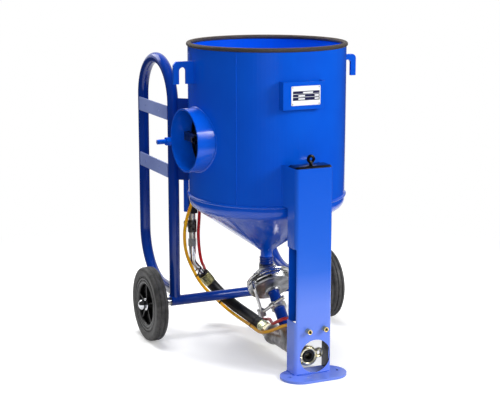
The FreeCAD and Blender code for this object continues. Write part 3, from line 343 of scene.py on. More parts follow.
def stood(bm, at, direction):
    """Turns a shape from +Z to a direction, and moves it to a place in mm."""
    turn = UP.rotation_difference(Vector(direction)).to_matrix().to_4x4()
    bmesh.ops.transform(bm, matrix=Matrix.Translation(Vector(at) * MM) @ turn, verts=bm.verts)
    return bm


def merged_copy(node):
    """A bmesh of a CAD node's surface with its loose triangles joined."""
    bm = bmesh.new()
    bm.from_mesh(frame["nodes"][node].data)
    bmesh.ops.remove_doubles(bm, verts=bm.verts, dist=0.002 * MM)
    return bm


def lathe(profile, steps, at=(0, 0, 0), direction=UP, solid=False, flutes=0, flute_depth=0.0):
    """Spins (radius, height) in mm about an axis through at: a closed ring, or a solid whose ends
    lie on the axis. Flutes press its outer wall in."""
    bm = bmesh.new()
    verts = [bm.verts.new((radius * MM, 0, height * MM)) for radius, height in profile]
    edges = [bm.edges.new(pair) for pair in zip(verts, verts[1:])]
    if not solid:
        edges.append(bm.edges.new((verts[-1], verts[0])))
    bmesh.ops.spin(bm, geom=verts + edges, cent=(0, 0, 0), axis=UP, angle=TAU, steps=steps, use_merge=True)
    bmesh.ops.remove_doubles(bm, verts=bm.verts, dist=0.001 * MM)
    if flutes:
        outer_wall = 0.96 * max(radius for radius, height in profile) * MM
        for vert in bm.verts:
            reach = vert.co.xy.length
            if reach > outer_wall:
                turn = math.atan2(vert.co.y, vert.co.x)
                pressed = 1 - flute_depth * MM / reach * abs(math.sin(turn * flutes / 2))
                vert.co.x *= pressed
                vert.co.y *= pressed
    bmesh.ops.recalc_face_normals(bm, faces=bm.faces)
    return stood(bm, at, direction)


def joined(*shapes):
    """One bmesh from several."""
    whole = bmesh.new()
    for shape in shapes:
        mesh = bpy.data.meshes.new("shape")
        shape.to_mesh(mesh)
        shape.free()
        whole.from_mesh(mesh)
        bpy.data.meshes.remove(mesh)
    return whole


def bevelled(bm, edges, offset, segments=2):
    """Rounds edges by an offset in mm."""
    bmesh.ops.bevel(bm, geom=edges, offset=offset * MM, segments=segments, profile=0.5, affect="EDGES",
                    material=-1)


def hexagon(across, depth, at, direction, bevel):
    """A bevelled hexagon bar in mm that stands on at."""
    bm = bmesh.new()
    reach = across / math.sqrt(3) * MM
    bmesh.ops.create_cone(bm, cap_ends=True, segments=6, radius1=reach, radius2=reach, depth=depth * MM)
    bmesh.ops.translate(bm, vec=(0, 0, depth / 2 * MM), verts=bm.verts)
    bevelled(bm, list(bm.edges), bevel)
    return stood(bm, at, direction)


def slab(low, high, bevel=0.0, matrix=None):
    """A box between two corners in mm, bevelled if asked."""
    low, high = Vector(low) * MM, Vector(high) * MM
    bm = bmesh.new()
    bmesh.ops.create_cube(bm, size=1.0)
    bmesh.ops.scale(bm, vec=high - low, verts=bm.verts)
    bmesh.ops.translate(bm, vec=(high + low) / 2, verts=bm.verts)
    if bevel:
        bevelled(bm, list(bm.edges), bevel)
    if matrix:
        bmesh.ops.transform(bm, matrix=matrix, verts=bm.verts)
    return bm


def rounded(profile, size, steps=2):
    """The closed profile with each corner cut by a short curve, size mm at most."""
    smooth = []
    count = len(profile)
    for k in range(count):
        here = Vector(profile[k])
        before = Vector(profile[k - 1])
        after = Vector(profile[(k + 1) % count])
        reach_in = min(size, 0.4 * (before - here).length)
        reach_out = min(size, 0.4 * (after - here).length)
        first = here + (before - here).normalized() * reach_in
        last = here + (after - here).normalized() * reach_out
        for step in range(steps + 1):
            t = step / steps
            point = first * (1 - t) ** 2 + here * 2 * t * (1 - t) + last * t ** 2
            smooth.append((point.x, point.y))
    return smooth


def tube_mesh(name, points, radius, sides, closed=False, radii=None):
    """A round bar along points, in mm, as a mesh."""
    curve = bpy.data.curves.new(name, "CURVE")
    curve.dimensions = "3D"
    curve.bevel_depth = radius * MM
    curve.bevel_resolution = sides
    curve.use_fill_caps = True
    spline = curve.splines.new("POLY")
    spline.points.add(len(points) - 1)
    for k, point in enumerate(points):
        spline.points[k].co = (point[0] * MM, point[1] * MM, point[2] * MM, 1)
        spline.points[k].radius = radii[k] if radii else 1.0
    spline.use_cyclic_u = closed
    holder = bpy.data.objects.new(name, curve)
    mesh = bpy.data.meshes.new_from_object(holder)
    bpy.data.objects.remove(holder)
    bpy.data.curves.remove(curve)
    return mesh


def along(first, last, step):
    """Points every step mm or so from first to last."""
    first, last = Vector(first), Vector(last)
    count = max(2, int((last - first).length / step))
    return [first.lerp(last, k / count) for k in range(count + 1)]


# Settings, whose defaults are the pot's own sizes and colours

class EnamelSettings(bpy.types.PropertyGroup):
    paint: FloatVectorProperty(name="Paint", description="Blue of the enamel", subtype="COLOR",
                               default=linear("#0556d2")[:3])
    shade: FloatVectorProperty(name="Shade", description="Blue where the coat is thicker", subtype="COLOR",
                               default=linear("#044fca")[:3])


class WeldSettings(bpy.types.PropertyGroup):
    bead: FloatProperty(name="Bead", description="Half the width of a weld bead, in mm", default=3.2, min=1.0)
    ripple: FloatProperty(name="Ripple", description="Length of one ripple, in mm", default=3.5, min=1.0)
    seed: IntProperty(name="Seed", description="Start of the uneven ripples", default=7)


class WheelSettings(bpy.types.PropertyGroup):
    steps: IntProperty(name="Steps", description="Divisions round a wheel", default=96, min=24)
    spokes: IntProperty(name="Spokes", description="Ribs in the wheel centre", default=5, min=3)


class StageSettings(bpy.types.PropertyGroup):
    lens: FloatProperty(name="Lens", description="Focal length in mm", default=95.38)
    key: FloatProperty(name="Key light", description="Power of the main softbox in watts", default=165.0)
    fill: FloatProperty(name="Fill light", description="Power of the front left softbox in watts",
                        default=75.0)
    back: FloatProperty(name="Back light", description="Power of the rear softbox in watts", default=40.0)
    top: FloatProperty(name="Top light", description="Power of the overhead softbox in watts", default=110.0)
    sky: FloatProperty(name="Sky", description="Level of the all-round light", default=0.27)
    room: FloatProperty(name="Room", description="Level of the dim room that gloss mirrors", default=0.04)
    paper: FloatProperty(name="Paper", description="Lift of the floor toward white", default=0.28)


class PotSettings(bpy.types.PropertyGroup):
    enamel: PointerProperty(type=EnamelSettings)
    weld: PointerProperty(type=WeldSettings)
    wheel: PointerProperty(type=WheelSettings)
    stage: PointerProperty(type=StageSettings)


def settings():
    return bpy.context.scene.blast_pot


class BLASTPOT_OT_stage(bpy.types.Operator):
    """Sets the camera, the white floor and the soft lights"""
    bl_idname = "blastpot.stage"
    bl_label = "Stage and camera"

    def execute(self, context):
        chosen = settings().stage
        scene = context.scene
        scene.view_settings.view_transform = "Standard"
        camera = bpy.data.cameras.new("camera")
        camera.lens = chosen.lens
        camera.sensor_width = 36.0
        camera.clip_end = 60.0
        eye = bpy.data.objects.new("camera", camera)
        eye.location = (-EYE_LEFT, AXIS_Y - EYE_FRONT, EYE_HEIGHT)
        eye.rotation_euler = (math.radians(90 - EYE_PITCH), 0, math.radians(-EYE_TURN))
        scene.collection.objects.link(eye)
        scene.camera = eye
        self.floor(scene, chosen)
        self.lamps(scene, chosen)
        self.sky(scene, chosen)
        return {"FINISHED"}

    def floor(self, scene, chosen):
        bm = bmesh.new()
        bmesh.ops.create_grid(bm, x_segments=1, y_segments=1, size=FLOOR_HALF)
        mesh = bpy.data.meshes.new("floor")
        bm.to_mesh(mesh)
        bm.free()
        plane = bpy.data.objects.new("floor", mesh)
        plane.location.z = -FLOOR_DROP
        scene.collection.objects.link(plane)
        # White studio paper: matte, lifted toward white for the camera alone, and plain white
        # further off. Soft light bounces from it as from a greyer sheet.
        material = bpy.data.materials.new("White studio paper")
        material.use_nodes = True
        tree = material.node_tree
        tree.nodes.remove(tree.nodes["Principled BSDF"])
        paper = add(tree, "ShaderNodeBsdfDiffuse", {"Color": linear("#f2f2f2")}).outputs["BSDF"]
        bounce = add(tree, "ShaderNodeBsdfDiffuse", {"Color": linear("#a8a8a8")}).outputs["BSDF"]
        glow, white, dark = (
            add(tree, "ShaderNodeEmission", {"Color": (1, 1, 1, 1), "Strength": level}).outputs["Emission"]
            for level in (chosen.paper, 1.0, chosen.room))
        both = add(tree, "ShaderNodeAddShader", {0: paper, 1: glow}).outputs[0]
        place = add(tree, "ShaderNodeTexCoord").outputs["Object"]
        away = add(tree, "ShaderNodeVectorMath", {0: place}, operation="LENGTH").outputs["Value"]
        far = span(tree, away, PAPER_MATTE, PAPER_WHITE, interpolation_type="SMOOTHSTEP")
        shown = add(tree, "ShaderNodeMixShader", {0: far, 1: both, 2: white}).outputs[0]
        rays = add(tree, "ShaderNodeLightPath").outputs
        seen = add(tree, "ShaderNodeMath", {0: rays["Is Camera Ray"], 1: rays["Is Glossy Ray"]},
                   operation="MAXIMUM").outputs[0]
        # Gloss sees the sheet without its lift, and past its near and side edges a dark floor.
        depth, across = (
            add(tree, "ShaderNodeVectorMath", {0: place, 1: way}, operation="DOT_PRODUCT").outputs["Value"]
            for way in (VIEW, UP.cross(VIEW)))
        width = add(tree, "ShaderNodeMath", {0: across}, operation="ABSOLUTE").outputs[0]
        laid = add(tree, "ShaderNodeMath",
                   {0: span(tree, depth, *SHEET_NEAR), 1: span(tree, width, *SHEET_SIDE)},
                   operation="MULTIPLY").outputs[0]
        sheet = add(tree, "ShaderNodeMixShader", {0: far, 1: paper, 2: white}).outputs[0]
        mirrored = add(tree, "ShaderNodeMixShader", {0: laid, 1: dark, 2: sheet}).outputs[0]
        shown = add(tree, "ShaderNodeMixShader",
                    {0: rays["Is Glossy Ray"], 1: shown, 2: mirrored}).outputs[0]
        mix = add(tree, "ShaderNodeMixShader", {0: seen, 1: bounce, 2: shown}).outputs[0]
        tree.links.new(mix, tree.nodes["Material Output"].inputs["Surface"])
        mesh.materials.append(material)

    def lamps(self, scene, chosen):
        for name, place, size, power in (
                ("key", (2.8, -3.4, 2.6), 1.8, chosen.key),
                ("top", (-0.2, 0.4, 3.4), 1.6, chosen.top),
                ("fill", (-1.8, -4.2, 1.8), 2.4, chosen.fill),
                ("back", (-1.6, 3.4, 3.0), 2.0, chosen.back)):
            lamp = bpy.data.lights.new(name, "AREA")
            lamp.size = size
            lamp.energy = power
            holder = bpy.data.objects.new(name, lamp)
            holder.visible_glossy = name in ("key", "back")
            holder.location = place
            holder.rotation_euler = (LAMP_AIM - Vector(place)).to_track_quat("-Z", "Y").to_euler()
            scene.collection.objects.link(holder)

    def sky(self, scene, chosen):
        world = bpy.data.worlds.new("White room")
        world.use_nodes = True
        tree = world.node_tree
        tree.nodes.clear()
        # The camera sees plain white. Gloss and metal mirror a white backdrop behind the pot and
        # a dim room on every other side.
        way = add(tree, "ShaderNodeTexCoord").outputs["Generated"]
        depth = add(tree, "ShaderNodeVectorMath", {0: way, 1: VIEW},
                    operation="DOT_PRODUCT").outputs["Value"]
        mirrored = add(tree, "ShaderNodeMapRange",
                       {"Value": depth, "From Min": BACKDROP_START, "From Max": BACKDROP_FULL,
                        "To Min": chosen.room, "To Max": BACKDROP_LEVEL}).outputs["Result"]
        rays = add(tree, "ShaderNodeLightPath").outputs
        gloss = add(tree, "ShaderNodeMix",
                    {"Factor": rays["Is Glossy Ray"], "A": chosen.sky, "B": mirrored}).outputs[0]
        seen = add(tree, "ShaderNodeMath", {0: rays["Is Camera Ray"], 1: rays["Is Transmission Ray"]},
                   operation="MAXIMUM").outputs[0]
        level = add(tree, "ShaderNodeMix", {"Factor": seen, "A": gloss, "B": 1.0}).outputs[0]
        back = add(tree, "ShaderNodeBackground", {"Color": (1, 1, 1, 1), "Strength": level}).outputs[0]
        out = add(tree, "ShaderNodeOutputWorld")
        tree.links.new(back, out.inputs["Surface"])
        scene.world = world


def body_of_node(node):
    return next(body for body, nodes in frame["record"]["behaviour"]["bodies"].items() if node in nodes)


def slot_of_node(node):
    return next(part["material_slot"] for part in frame["record"]["subparts"] if part["node"] == node)


class BLASTPOT_OT_finishes(bpy.types.Operator):
    """Gives every other solid of the pot its real finish, on a smooth-shaded copy that stands for it"""
    bl_idname = "blastpot.finishes"
    bl_label = "Finishes"

    def execute(self, context):
        for node in frame["nodes"]:
            if node not in DETAILED:
                slot = slot_of_node(node)
                material = finishes()[OTHER_FINISH.get(node, slot)]
                finish(node + "_skin", merged_copy(node), material, body_of_node(node), slot, node)
        return {"FINISHED"}


# Nodes that detailed pieces of their own stand for.
DETAILED = ("left_tyre", "right_tyre", "left_wheel", "right_wheel", "left_hub_cap", "right_hub_cap",
            "rating_plate", "handhole_studs", "handhole_nuts", "hose_ends", "blast_coupling",
            "coupling_gasket")
MADE = {}


def finishes():
    """The materials by slot, made once."""
    if not MADE:
        chosen = settings().enamel
        MADE.update(
            blue_enamel=gloss_enamel("Gloss blue enamel", (chosen.shade, chosen.paint)),
            leg_enamel=leg_enamel(),
            black_trim=grip_trim(),
            seal_rubber=polymer("Nitrile rubber", "#0c0c0c", "#161616", 0.5, 0.002, 0.0001),
            valve_plug=polymer("Rubber faced plug", "#1c1c1c", "#262626", 0.5, 0.002, 0.0001),
            steel=plated_metal("Machined mild steel", "#6d6d6c", "#8a8a88", 0.35),
            zinc_fasteners=plated_metal("Bright zinc plate", "#b4b4b0", "#d2d2cd", 0.28),
            dark_steel=plated_metal("Blackened steel fittings", "#2c2b2a", "#6a6865", 0.3),
            rating_aluminium=polymer("White printed aluminium", "#e9ebee", "#f4f5f7", 0.3, 0.002, 0.00002),
            plate_ink=polymer("Dark blue printed panel", "#0a0f38", "#101648", 0.3, 0.002, 0.00002),
            black_cap=polymer("Gloss black ABS", "#060606", "#0c0c0c", 0.16, 0.002, 0.00003),
            brass=plated_metal("Turned brass", "#d8b964", "#f6e6ae", 0.16),
            # The frame's copy of the enamel is painted a darker blue: painted shade, since the frame at the
            # left gets less light.
            frame_enamel=gloss_enamel("Gloss blue enamel on the frame", ("#042c80", "#06338e"), 0.3),
            # The flat bars' copy of the enamel is painted pale lavender: a painted reflection of the white
            # surroundings at a grazing angle.
            bar_enamel=gloss_enamel("Pale blue enamel on the flat bars, painted reflection", ("#8797d4", "#96a6e0"), 0.2,
                                    0.05),
            tyre=polymer("Solid tyre rubber", "#343434", "#4c4b4a", 0.5, 0.0016, 0.00025),
            wheel_plastic=wheel_material(),
            bush_plastic=polymer("Nylon", "#c6c4ba", "#d4d2c8", 0.4, 0.002, 0.0001),
            chrome=plated_metal("Chrome plate", "#c6c8cc", "#dfe1e4", 0.1),
            valve_aluminium=valve_metal(),
            cast_aluminium=cast_metal(),
            lever_steel=plated_metal("Zinc plated steel bar", "#bdbcb8", "#e6e5e1", 0.34),
            coupling_zinc=plated_metal("Yellow zinc plate", "#e2d9b0", "#fbf4d6", 0.3),
            olive_zinc=plated_metal("Olive zinc plate", "#6f6b45", "#b3ad7c", 0.25),
            pale_zinc=plated_metal("Pale yellow zinc plate", "#c3c79a", "#e9edc6", 0.22),
            manifold_black=polymer("Black nylon", "#0d0d0d", "#161616", 0.35, 0.002, 0.0001),
            hose_black=polymer("Black hose cover", "#040404", "#0a0a0a", 0.5, 0.0016, 0.0001),
            hose_yellow=polymer("Yellow hose cover", "#ffae00", "#ffc000", 0.35, 0.0016, 0.00005),
            hose_red=polymer("Red hose cover", "#b80010", "#cc0014", 0.35, 0.0016, 0.00005),
        )
    return MADE


# Finishes that differ from the one of the node's slot.
OTHER_FINISH = {"leg_channel": "leg_enamel", "foot_plate": "leg_enamel", "rack_bars": "bar_enamel",
                "left_loop": "frame_enamel", "right_loop": "frame_enamel", "crossbar": "frame_enamel",
                "outlet_pipe": "frame_enamel", "tank_brackets": "frame_enamel",
                "outlet_coupling": "frame_enamel", "stack_fittings": "zinc_fasteners",
                "mixing_wye": "cast_aluminium", "remote_valve": "dark_steel"}


class BLASTPOT_OT_tyres(bpy.types.Operator):
    """Turns the two solid rubber tyres with their ribbed treads"""
    bl_idname = "blastpot.tyres"
    bl_label = "Tyres"

    def execute(self, context):
        low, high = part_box("right_tyre")
        centre = (low + high) / 2 / MM
        half = (high.x - low.x) / 2 / MM
        radius = (high.z - low.z) / 2 / MM
        bead = 110.0
        # Radius and distance in from the side face, from the bead out to the tread.
        wall = [(bead, 9), (bead + 1, 3), (bead + 2.5, 1.2), (bead + 4, 2.8), (bead + 7, 3.0),
                (bead + 16, 1.4), (bead + 26, 0), (radius - 8, 0.8), (radius - 3, 4.5), (radius - 1, 9)]
        groove = [(-4, 0), (-1.6, 4), (1.6, 4), (4, 0)]
        profile = [(reach, inset - half) for reach, inset in wall]
        for middle in (-half / 3, half / 3):
            profile += [(radius - depth, middle + offset) for offset, depth in groove]
        profile += [(reach, half - inset) for reach, inset in reversed(wall)]
        steps = settings().wheel.steps
        for side, sign in (("right", 1), ("left", -1)):
            at = (sign * centre.x, centre.y, centre.z)
            bm = lathe(rounded(profile, 1.0), steps, at, (sign, 0, 0))
            finish(side + "_tyre_rubber", bm, finishes()["tyre"], side + "_wheel", "tyre", side + "_tyre")
        return {"FINISHED"}


class BLASTPOT_OT_wheels(bpy.types.Operator):
    """Turns the ribbed wheel centres and their chrome caps"""
    bl_idname = "blastpot.wheels"
    bl_label = "Wheel centres"

    def execute(self, context):
        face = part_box("right_tyre")[1].x / MM
        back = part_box("right_tyre")[0].x / MM - face
        hub_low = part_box("right_wheel")[0].x / MM - face
        hub_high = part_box("right_wheel")[1].x / MM - face
        cap_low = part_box("right_hub_cap")[0].x / MM - face
        centre = centre_of("right_tyre") / MM
        count = settings().wheel.spokes
        steps = settings().wheel.steps
        rim = [(109.8, -6), (108, -3.6), (104, -2.6), (99.5, -3.4), (98.6, -8), (97.2, -8), (96.4, -4.6),
               (91, -3.8), (86, -5), (82.5, -10), (81, -24), (23.5, -24), (23.5, -31), (80, -31),
               (82, back + 6), (109.8, back + 6)]
        rib_deep, rib_shallow, rib_half, rib_inner, rib_outer = 26.0, 9.0, 3.2, 20, 83
        hub = [(14, hub_low), (23, hub_low), (24, hub_low + 1.5), (24, hub_high - 2), (22.5, hub_high),
               (14, hub_high)]
        cap = [(0, 34), (6, 33.4), (12, 31.4), (17, 27.6), (20.5, 22), (21.4, 17), (20.6, 13.6), (18.4, 12.2),
               (18.2, 8.4), (20.5, 7), (24.2, 5.6), (25, 3.4), (24.6, 0), (10.2, 0)]
        for side, sign in (("right", 1), ("left", -1)):
            at = (sign * face, centre.y, centre.z)
            out = (sign, 0, 0)
            parts = [lathe(rounded(rim, 0.8), steps, at, out), lathe(hub, steps // 2, at, out)]
            for k in range(count):
                turn = Matrix.Rotation(TAU * k / count, 4, "X")
                place = Matrix.Translation(Vector(at) * MM) @ turn
                low_x, high_x = sorted((-sign * rib_deep, -sign * rib_shallow))
                parts.append(slab((low_x, -rib_half, rib_inner), (high_x, rib_half, rib_outer), 1.4, place))
            finish(side + "_wheel_centre", joined(*parts), finishes()["wheel_plastic"], side + "_wheel",
                   "wheel_plastic", side + "_wheel")
            at = (sign * (face + cap_low), centre.y, centre.z)
            bm = lathe(cap, steps // 2, at, out, solid=True)
            finish(side + "_chrome_cap", bm, finishes()["chrome"], "base", "chrome", side + "_hub_cap",
                   smooth=50.0)
        return {"FINISHED"}


class BLASTPOT_OT_plate(bpy.types.Operator):
    """Makes the blank rating plate: white, with dark panels and empty fields"""
    bl_idname = "blastpot.plate"
    bl_label = "Rating plate"

    def execute(self, context):
        low, high = (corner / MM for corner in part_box("rating_plate"))
        printed, ink = finishes()["rating_aluminium"], finishes()["plate_ink"]
        bm = slab(low, high)
        # Only the four corners, whose edges run through the sheet, are rounded.
        bevelled(bm, [edge for edge in bm.edges
                      if abs(edge.verts[0].co.y - edge.verts[1].co.y) > 0.5 * MM], 4, segments=4)
        finish("rating_plate_sheet", bm, printed, "base", "rating_aluminium", "rating_plate")
        wide = high.x - low.x
        tall = high.z - low.z

        def panel(left, right, bottom, top, proud):
            """A thin block between shares of the plate's width and height, proud by some mm."""
            return slab((low.x + left * wide, low.y - proud, low.z + bottom * tall),
                        (low.x + right * wide, low.y, low.z + top * tall))

        left_edge, right_edge, ink_proud, field_proud = 0.05, 0.97, 0.15, 0.3
        finish("rating_plate_panels", panel(left_edge, right_edge, 0.26, 0.74, ink_proud), ink, "base",
               "rating_aluminium")
        rows = [(0.62, 0.70, ((0.40, 0.74),)), (0.46, 0.54, ((0.24, 0.46), (0.80, 0.94))),
                (0.30, 0.38, ((0.24, 0.46), (0.80, 0.94)))]
        fields = [panel(left, right, bottom, top, field_proud)
                  for bottom, top, boxes in rows for left, right in boxes]
        fields += [panel(left_edge, right_edge, line, line + 0.02, field_proud) for line in (0.42, 0.58)]
        finish("rating_plate_fields", joined(*fields), printed, "base", "rating_aluminium")
        return {"FINISHED"}


def loose_half(node, keep):
    """A merged copy of the loose parts of a node whose middle passes a test."""
    bm = merged_copy(node)
    seen = set()
    unwanted = []
    for vert in bm.verts:
        if vert in seen:
            continue
        part = {vert}
        to_visit = [vert]
        while to_visit:
            here = to_visit.pop()
            for edge in here.link_edges:
                other = edge.other_vert(here)
                if other not in part:
                    part.add(other)
                    to_visit.append(other)
        seen |= part
        middle = sum((v.co for v in part), Vector()) / len(part)
        if not keep(middle):
            unwanted += list(part)
    bmesh.ops.delete(bm, geom=unwanted, context="VERTS")
    return bm


class BLASTPOT_OT_handhole(bpy.types.Operator):
    """Splits the bare centre stud from the painted keeper stud"""
    bl_idname = "blastpot.handhole"
    bl_label = "Handhole fasteners"

    def execute(self, context):
        centre = centre_of("handhole_cover")
        centre_reach = 60 * MM

        def is_centre(place):
            return abs(place.y - centre.y) < centre_reach

        for node, word in (("handhole_studs", "stud"), ("handhole_nuts", "nut")):
            finish("centre_" + word, loose_half(node, is_centre), finishes()["dark_steel"], "base",
                   "zinc_fasteners", node)
            finish("keeper_" + word, loose_half(node, lambda place: not is_centre(place)),
                   finishes()["blue_enamel"], "base", "zinc_fasteners", node)
        return {"FINISHED"}


class BLASTPOT_OT_hose_ends(bpy.types.Operator):
    """Makes the crimped ferrules and the swivel nut of the thick hose"""
    bl_idname = "blastpot.hose_ends"
    bl_label = "Hose ends"

    def execute(self, context):
        bore, lip, wall = 23.1, 24.6, 26.4
        for name, first, toward, material in HOSE_ENDS:
            way = (toward - first).normalized()
            length = min(FERRULE_LENGTH, (toward - first).length * FERRULE_SHARE)
            profile = [(bore, 0), (lip, 0), (25.6, 1.5), (wall, 3.5), (wall, 9), (wall, length / 2),
                       (wall, length - 9), (wall, length - 3), (25.4, length - 0.8), (lip, length),
                       (bore, length)]
            bm = lathe(profile, 60, first + SHIFT + way * FERRULE_LEAD, way, flutes=10, flute_depth=1.8)
            finish(name + "_ferrule", bm, finishes()[material], "base", "coupling_zinc", "hose_ends",
                   smooth=25.0)
        nut_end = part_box("mixing_wye")[1].y / MM
        start = HOSE_ENDS[1][1] + SHIFT
        axis_z = centre_of("blast_coupling").z / MM
        bm = hexagon(54.0, start.y - nut_end, (0, start.y, axis_z), (0, -1, 0), bevel=2.0)
        finish("swivel_nut", bm, finishes()["coupling_zinc"], "base", "coupling_zinc", "hose_ends",
               smooth=25.0)
        return {"FINISHED"}


class BLASTPOT_OT_coupling(bpy.types.Operator):
    """Makes the claw coupling with its two ears and its rubber seal"""
    bl_idname = "blastpot.coupling"
    bl_label = "Claw coupling"

    def execute(self, context):
        axis_z = centre_of("coupling_gasket").z / MM
        seal_proud, ear_back, ear_radius, ear_stretch = 3.0, 4.0, 5.8, 1.5
        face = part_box("coupling_gasket")[0].y / MM + seal_proud
        ear_y = face - ear_back
        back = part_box("blast_coupling")[1].y / MM - face
        at = (0, face, axis_z)
        out = (0, -1, 0)
        body = [(15, -back), (24, -back), (26, -24), (33, -23), (37.5, -19), (39.5, -12), (39.5, -6),
                (38, -1.5), (34, 1.5), (29, 2.2), (26, 1.2), (24.4, -1.4), (23.2, -3), (15, -3)]
        # Turn about the axis and radius of the points that an ear's arch runs through.
        ear_arch = ((-17, 33), (-17, 41), (-15, 48), (-8, 52.5), (0, 53.5), (9, 53.5), (16, 50.5), (20, 45),
                    (22, 39), (22, 33))
        shapes = [lathe(rounded(body, 1.5), 72, at, out),
                  hexagon(56.0, back - 24, (0, face + back, axis_z), out, bevel=1.5)]
        for turn in (math.radians(14), math.radians(194)):
            arch = []
            for angle, reach in ear_arch:
                here = turn + math.radians(angle)
                arch.append((reach * math.cos(here), ear_y, axis_z + reach * math.sin(here)))
            mesh = tube_mesh("ear", arch, ear_radius, sides=4)
            ear = bmesh.new()
            ear.from_mesh(mesh)
            bpy.data.meshes.remove(mesh)
            bmesh.ops.scale(ear, vec=(1, ear_stretch, 1), space=Matrix.Translation((0, -ear_y * MM, 0)),
                            verts=ear.verts)
            shapes.append(ear)
        finish("claw_coupling", joined(*shapes), finishes()["coupling_zinc"], "base", "coupling_zinc",
               "blast_coupling")
        seal = [(12.2, -24), (14.8, -24), (14.8, -3.2), (22.8, -3.2), (23.4, 0.5), (22, 2.8), (19.5, 3.4),
                (17.5, 2.4), (16, 3.2), (14.4, 2.6), (13, 0.5)]
        finish("claw_seal", lathe(rounded(seal, 0.6), 72, at, out), finishes()["seal_rubber"], "base",
               "seal_rubber", "coupling_gasket")
        return {"FINISHED"}


class BLASTPOT_OT_welds(bpy.types.Operator):
    """Lays the weld beads along the vessel, the leg and the frame"""
    bl_idname = "blastpot.welds"
    bl_label = "Weld beads"

    def execute(self, context):
        chosen = settings().weld
        random.seed(chosen.seed)
        mean_bead, bead_drift = 0.9, 0.08
        for name, path, width, closed in weld_paths():
            points = []
            for first, last in zip(path, path[1:]):
                points += along(first, last, chosen.ripple / 2)[:-1]
            if not closed:
                points.append(Vector(path[-1]))
            radii = [mean_bead + random.uniform(-bead_drift, bead_drift) for point in points]
            mesh = tube_mesh(name, [point + SHIFT for point in points], width * chosen.bead, 2, closed, radii)
            finish(name, mesh, finishes()["blue_enamel"], "base", "blue_enamel", smooth=80.0)
        return {"FINISHED"}


def circle(radius, z, count=180):
    """A level circle about the vessel's axis, with its first point repeated at the end."""
    return [(radius * math.cos(TAU * k / count), radius * math.sin(TAU * k / count), z)
            for k in range(count + 1)]


def handhole_ring():
    """The handhole ring's seam, which lies on the round shell."""
    turn = math.radians(HATCH_TURN)
    outward = Vector((math.cos(turn), math.sin(turn), 0))
    across = UP.cross(outward)
    ring = []
    for k in range(121):
        t = TAU * k / 120
        x, y = HATCH_WELD_R * math.sin(t), HATCH_WELD_R * math.cos(t)
        depth = math.sqrt(TANK_R ** 2 - x ** 2) + 0.5
        ring.append(across * x + Vector((0, 0, HATCH_Z + y)) + outward * depth)
    return ring


def crossbar_ring(tube_x):
    """The seam round the foot of a loop's tube, draped over the crossbar."""
    ring = []
    for k in range(49):
        t = TAU * k / 48
        x, y = TUBE_WELD_R * math.cos(t), TUBE_WELD_R * math.sin(t)
        off = min(CROSSBAR_WELD_R - 0.1, abs(y - CROSSBAR_CROWN))
        ring.append((tube_x + x, TUBE_Y + y, CROSSBAR_Z + math.sqrt(CROSSBAR_WELD_R ** 2 - off ** 2)))
    return ring


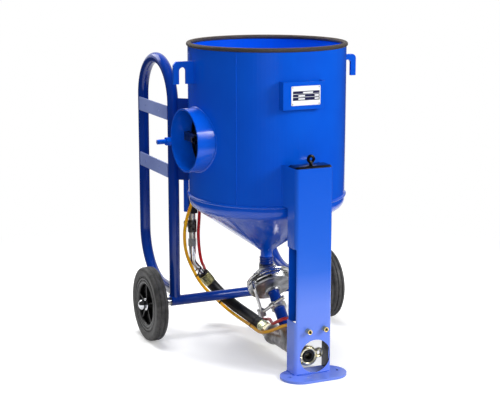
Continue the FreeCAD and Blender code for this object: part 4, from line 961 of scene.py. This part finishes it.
def weld_paths():
    """Name, path about the vessel's axis in mm, width share, and whether it closes."""
    turn = math.radians(UPRIGHT_TURN)
    upright_x, upright_y = TANK_R * math.cos(turn), TANK_R * math.sin(turn)
    paths = [("seam_girth", circle(TANK_R - 0.4, GIRTH_Z), 2.0, True),
             ("seam_head", circle(TANK_R - 7.5, HEAD_SEAM_Z), 1.2, True),
             ("seam_neck", circle(NECK_R, NECK_Z, 40), 0.8, True),
             ("seam_upright", [(upright_x, upright_y, z) for z in (UPRIGHT_LOW_Z, UPRIGHT_TOP_Z)], 0.9,
              False),
             ("seam_handhole", handhole_ring(), 1.3, True)]
    leg_y = -math.sqrt(TANK_R ** 2 - LEG_HALF ** 2)
    for side, sign in (("left", -1), ("right", 1)):
        leg_x = sign * LEG_HALF
        paths.append((side + "_leg_seam", [(leg_x, leg_y, z) for z in (LEG_LOW_Z, LEG_TOP_Z)], 1.1, False))
        paths.append((side + "_foot_seam", [(leg_x, FOOT_BACK_Y, FOOT_Z), (leg_x, FOOT_SIDE_Y, FOOT_Z),
                                            (sign * (LEG_HALF - FOOT_CORNER), FOOT_FRONT_Y, FOOT_Z),
                                            (0.0, FOOT_MIDDLE_Y, FOOT_Z)], 1.0, False))
        faces = (("front", -1), ("rear", 1))
        for face, way in faces:
            paths.append((side + "_lug_seam_" + face,
                          [(sign * TANK_R, way * LUG_HALF, z) for z in (LUG_LOW_Z, LUG_TOP_Z)], 0.8, False))
        reach = Vector((sign * TUBE_X, TUBE_Y, 0)).normalized()
        for face, way in faces:
            base = reach * (TANK_R + 0.5) + UP.cross(reach) * BRACKET_HALF * way
            paths.append((side + "_bracket_seam_" + face,
                          [base + UP * z for z in (BRACKET_LOW_Z, BRACKET_TOP_Z)], 0.8, False))
        paths.append((side + "_crossbar_seam", crossbar_ring(sign * TUBE_X), 0.9, True))
        for z in BAR_LEVELS:
            for y in BAR_ENDS:
                paths.append(("%s_bar_seam_%d_%d" % (side, z, y),
                              [(sign * BAR_X, y, z + step) for step in (-BAR_HALF, BAR_HALF)], 0.6, False))
    return paths


class BLASTPOT_PT_panel(bpy.types.Panel):
    """Lists the steps that dress the blast pot"""
    bl_idname = "BLASTPOT_PT_panel"
    bl_label = "Blast Pot"
    bl_space_type = "VIEW_3D"
    bl_region_type = "UI"
    bl_category = "Blast Pot"

    def draw(self, context):
        for step in STEPS:
            self.layout.operator(step.bl_idname)
        chosen = context.scene.blast_pot
        for group in (chosen.enamel, chosen.weld, chosen.wheel, chosen.stage):
            for name in group.bl_rna.properties.keys():
                if name not in ("name", "rna_type"):
                    self.layout.prop(group, name)


STEPS = (BLASTPOT_OT_stage, BLASTPOT_OT_finishes, BLASTPOT_OT_tyres, BLASTPOT_OT_wheels, BLASTPOT_OT_plate,
         BLASTPOT_OT_handhole, BLASTPOT_OT_hose_ends, BLASTPOT_OT_coupling, BLASTPOT_OT_welds)
CLASSES = (EnamelSettings, WeldSettings, WheelSettings, StageSettings, PotSettings, *STEPS,
           BLASTPOT_PT_panel)


def register():
    for item in CLASSES:
        bpy.utils.register_class(item)
    bpy.types.Scene.blast_pot = PointerProperty(type=PotSettings)


def unregister():
    del bpy.types.Scene.blast_pot
    for item in reversed(CLASSES):
        bpy.utils.unregister_class(item)


def main():
    register()
    for step in STEPS:
        group, name = step.bl_idname.split(".")
        getattr(getattr(bpy.ops, group), name)()


if __name__ == "__main__":
    main()
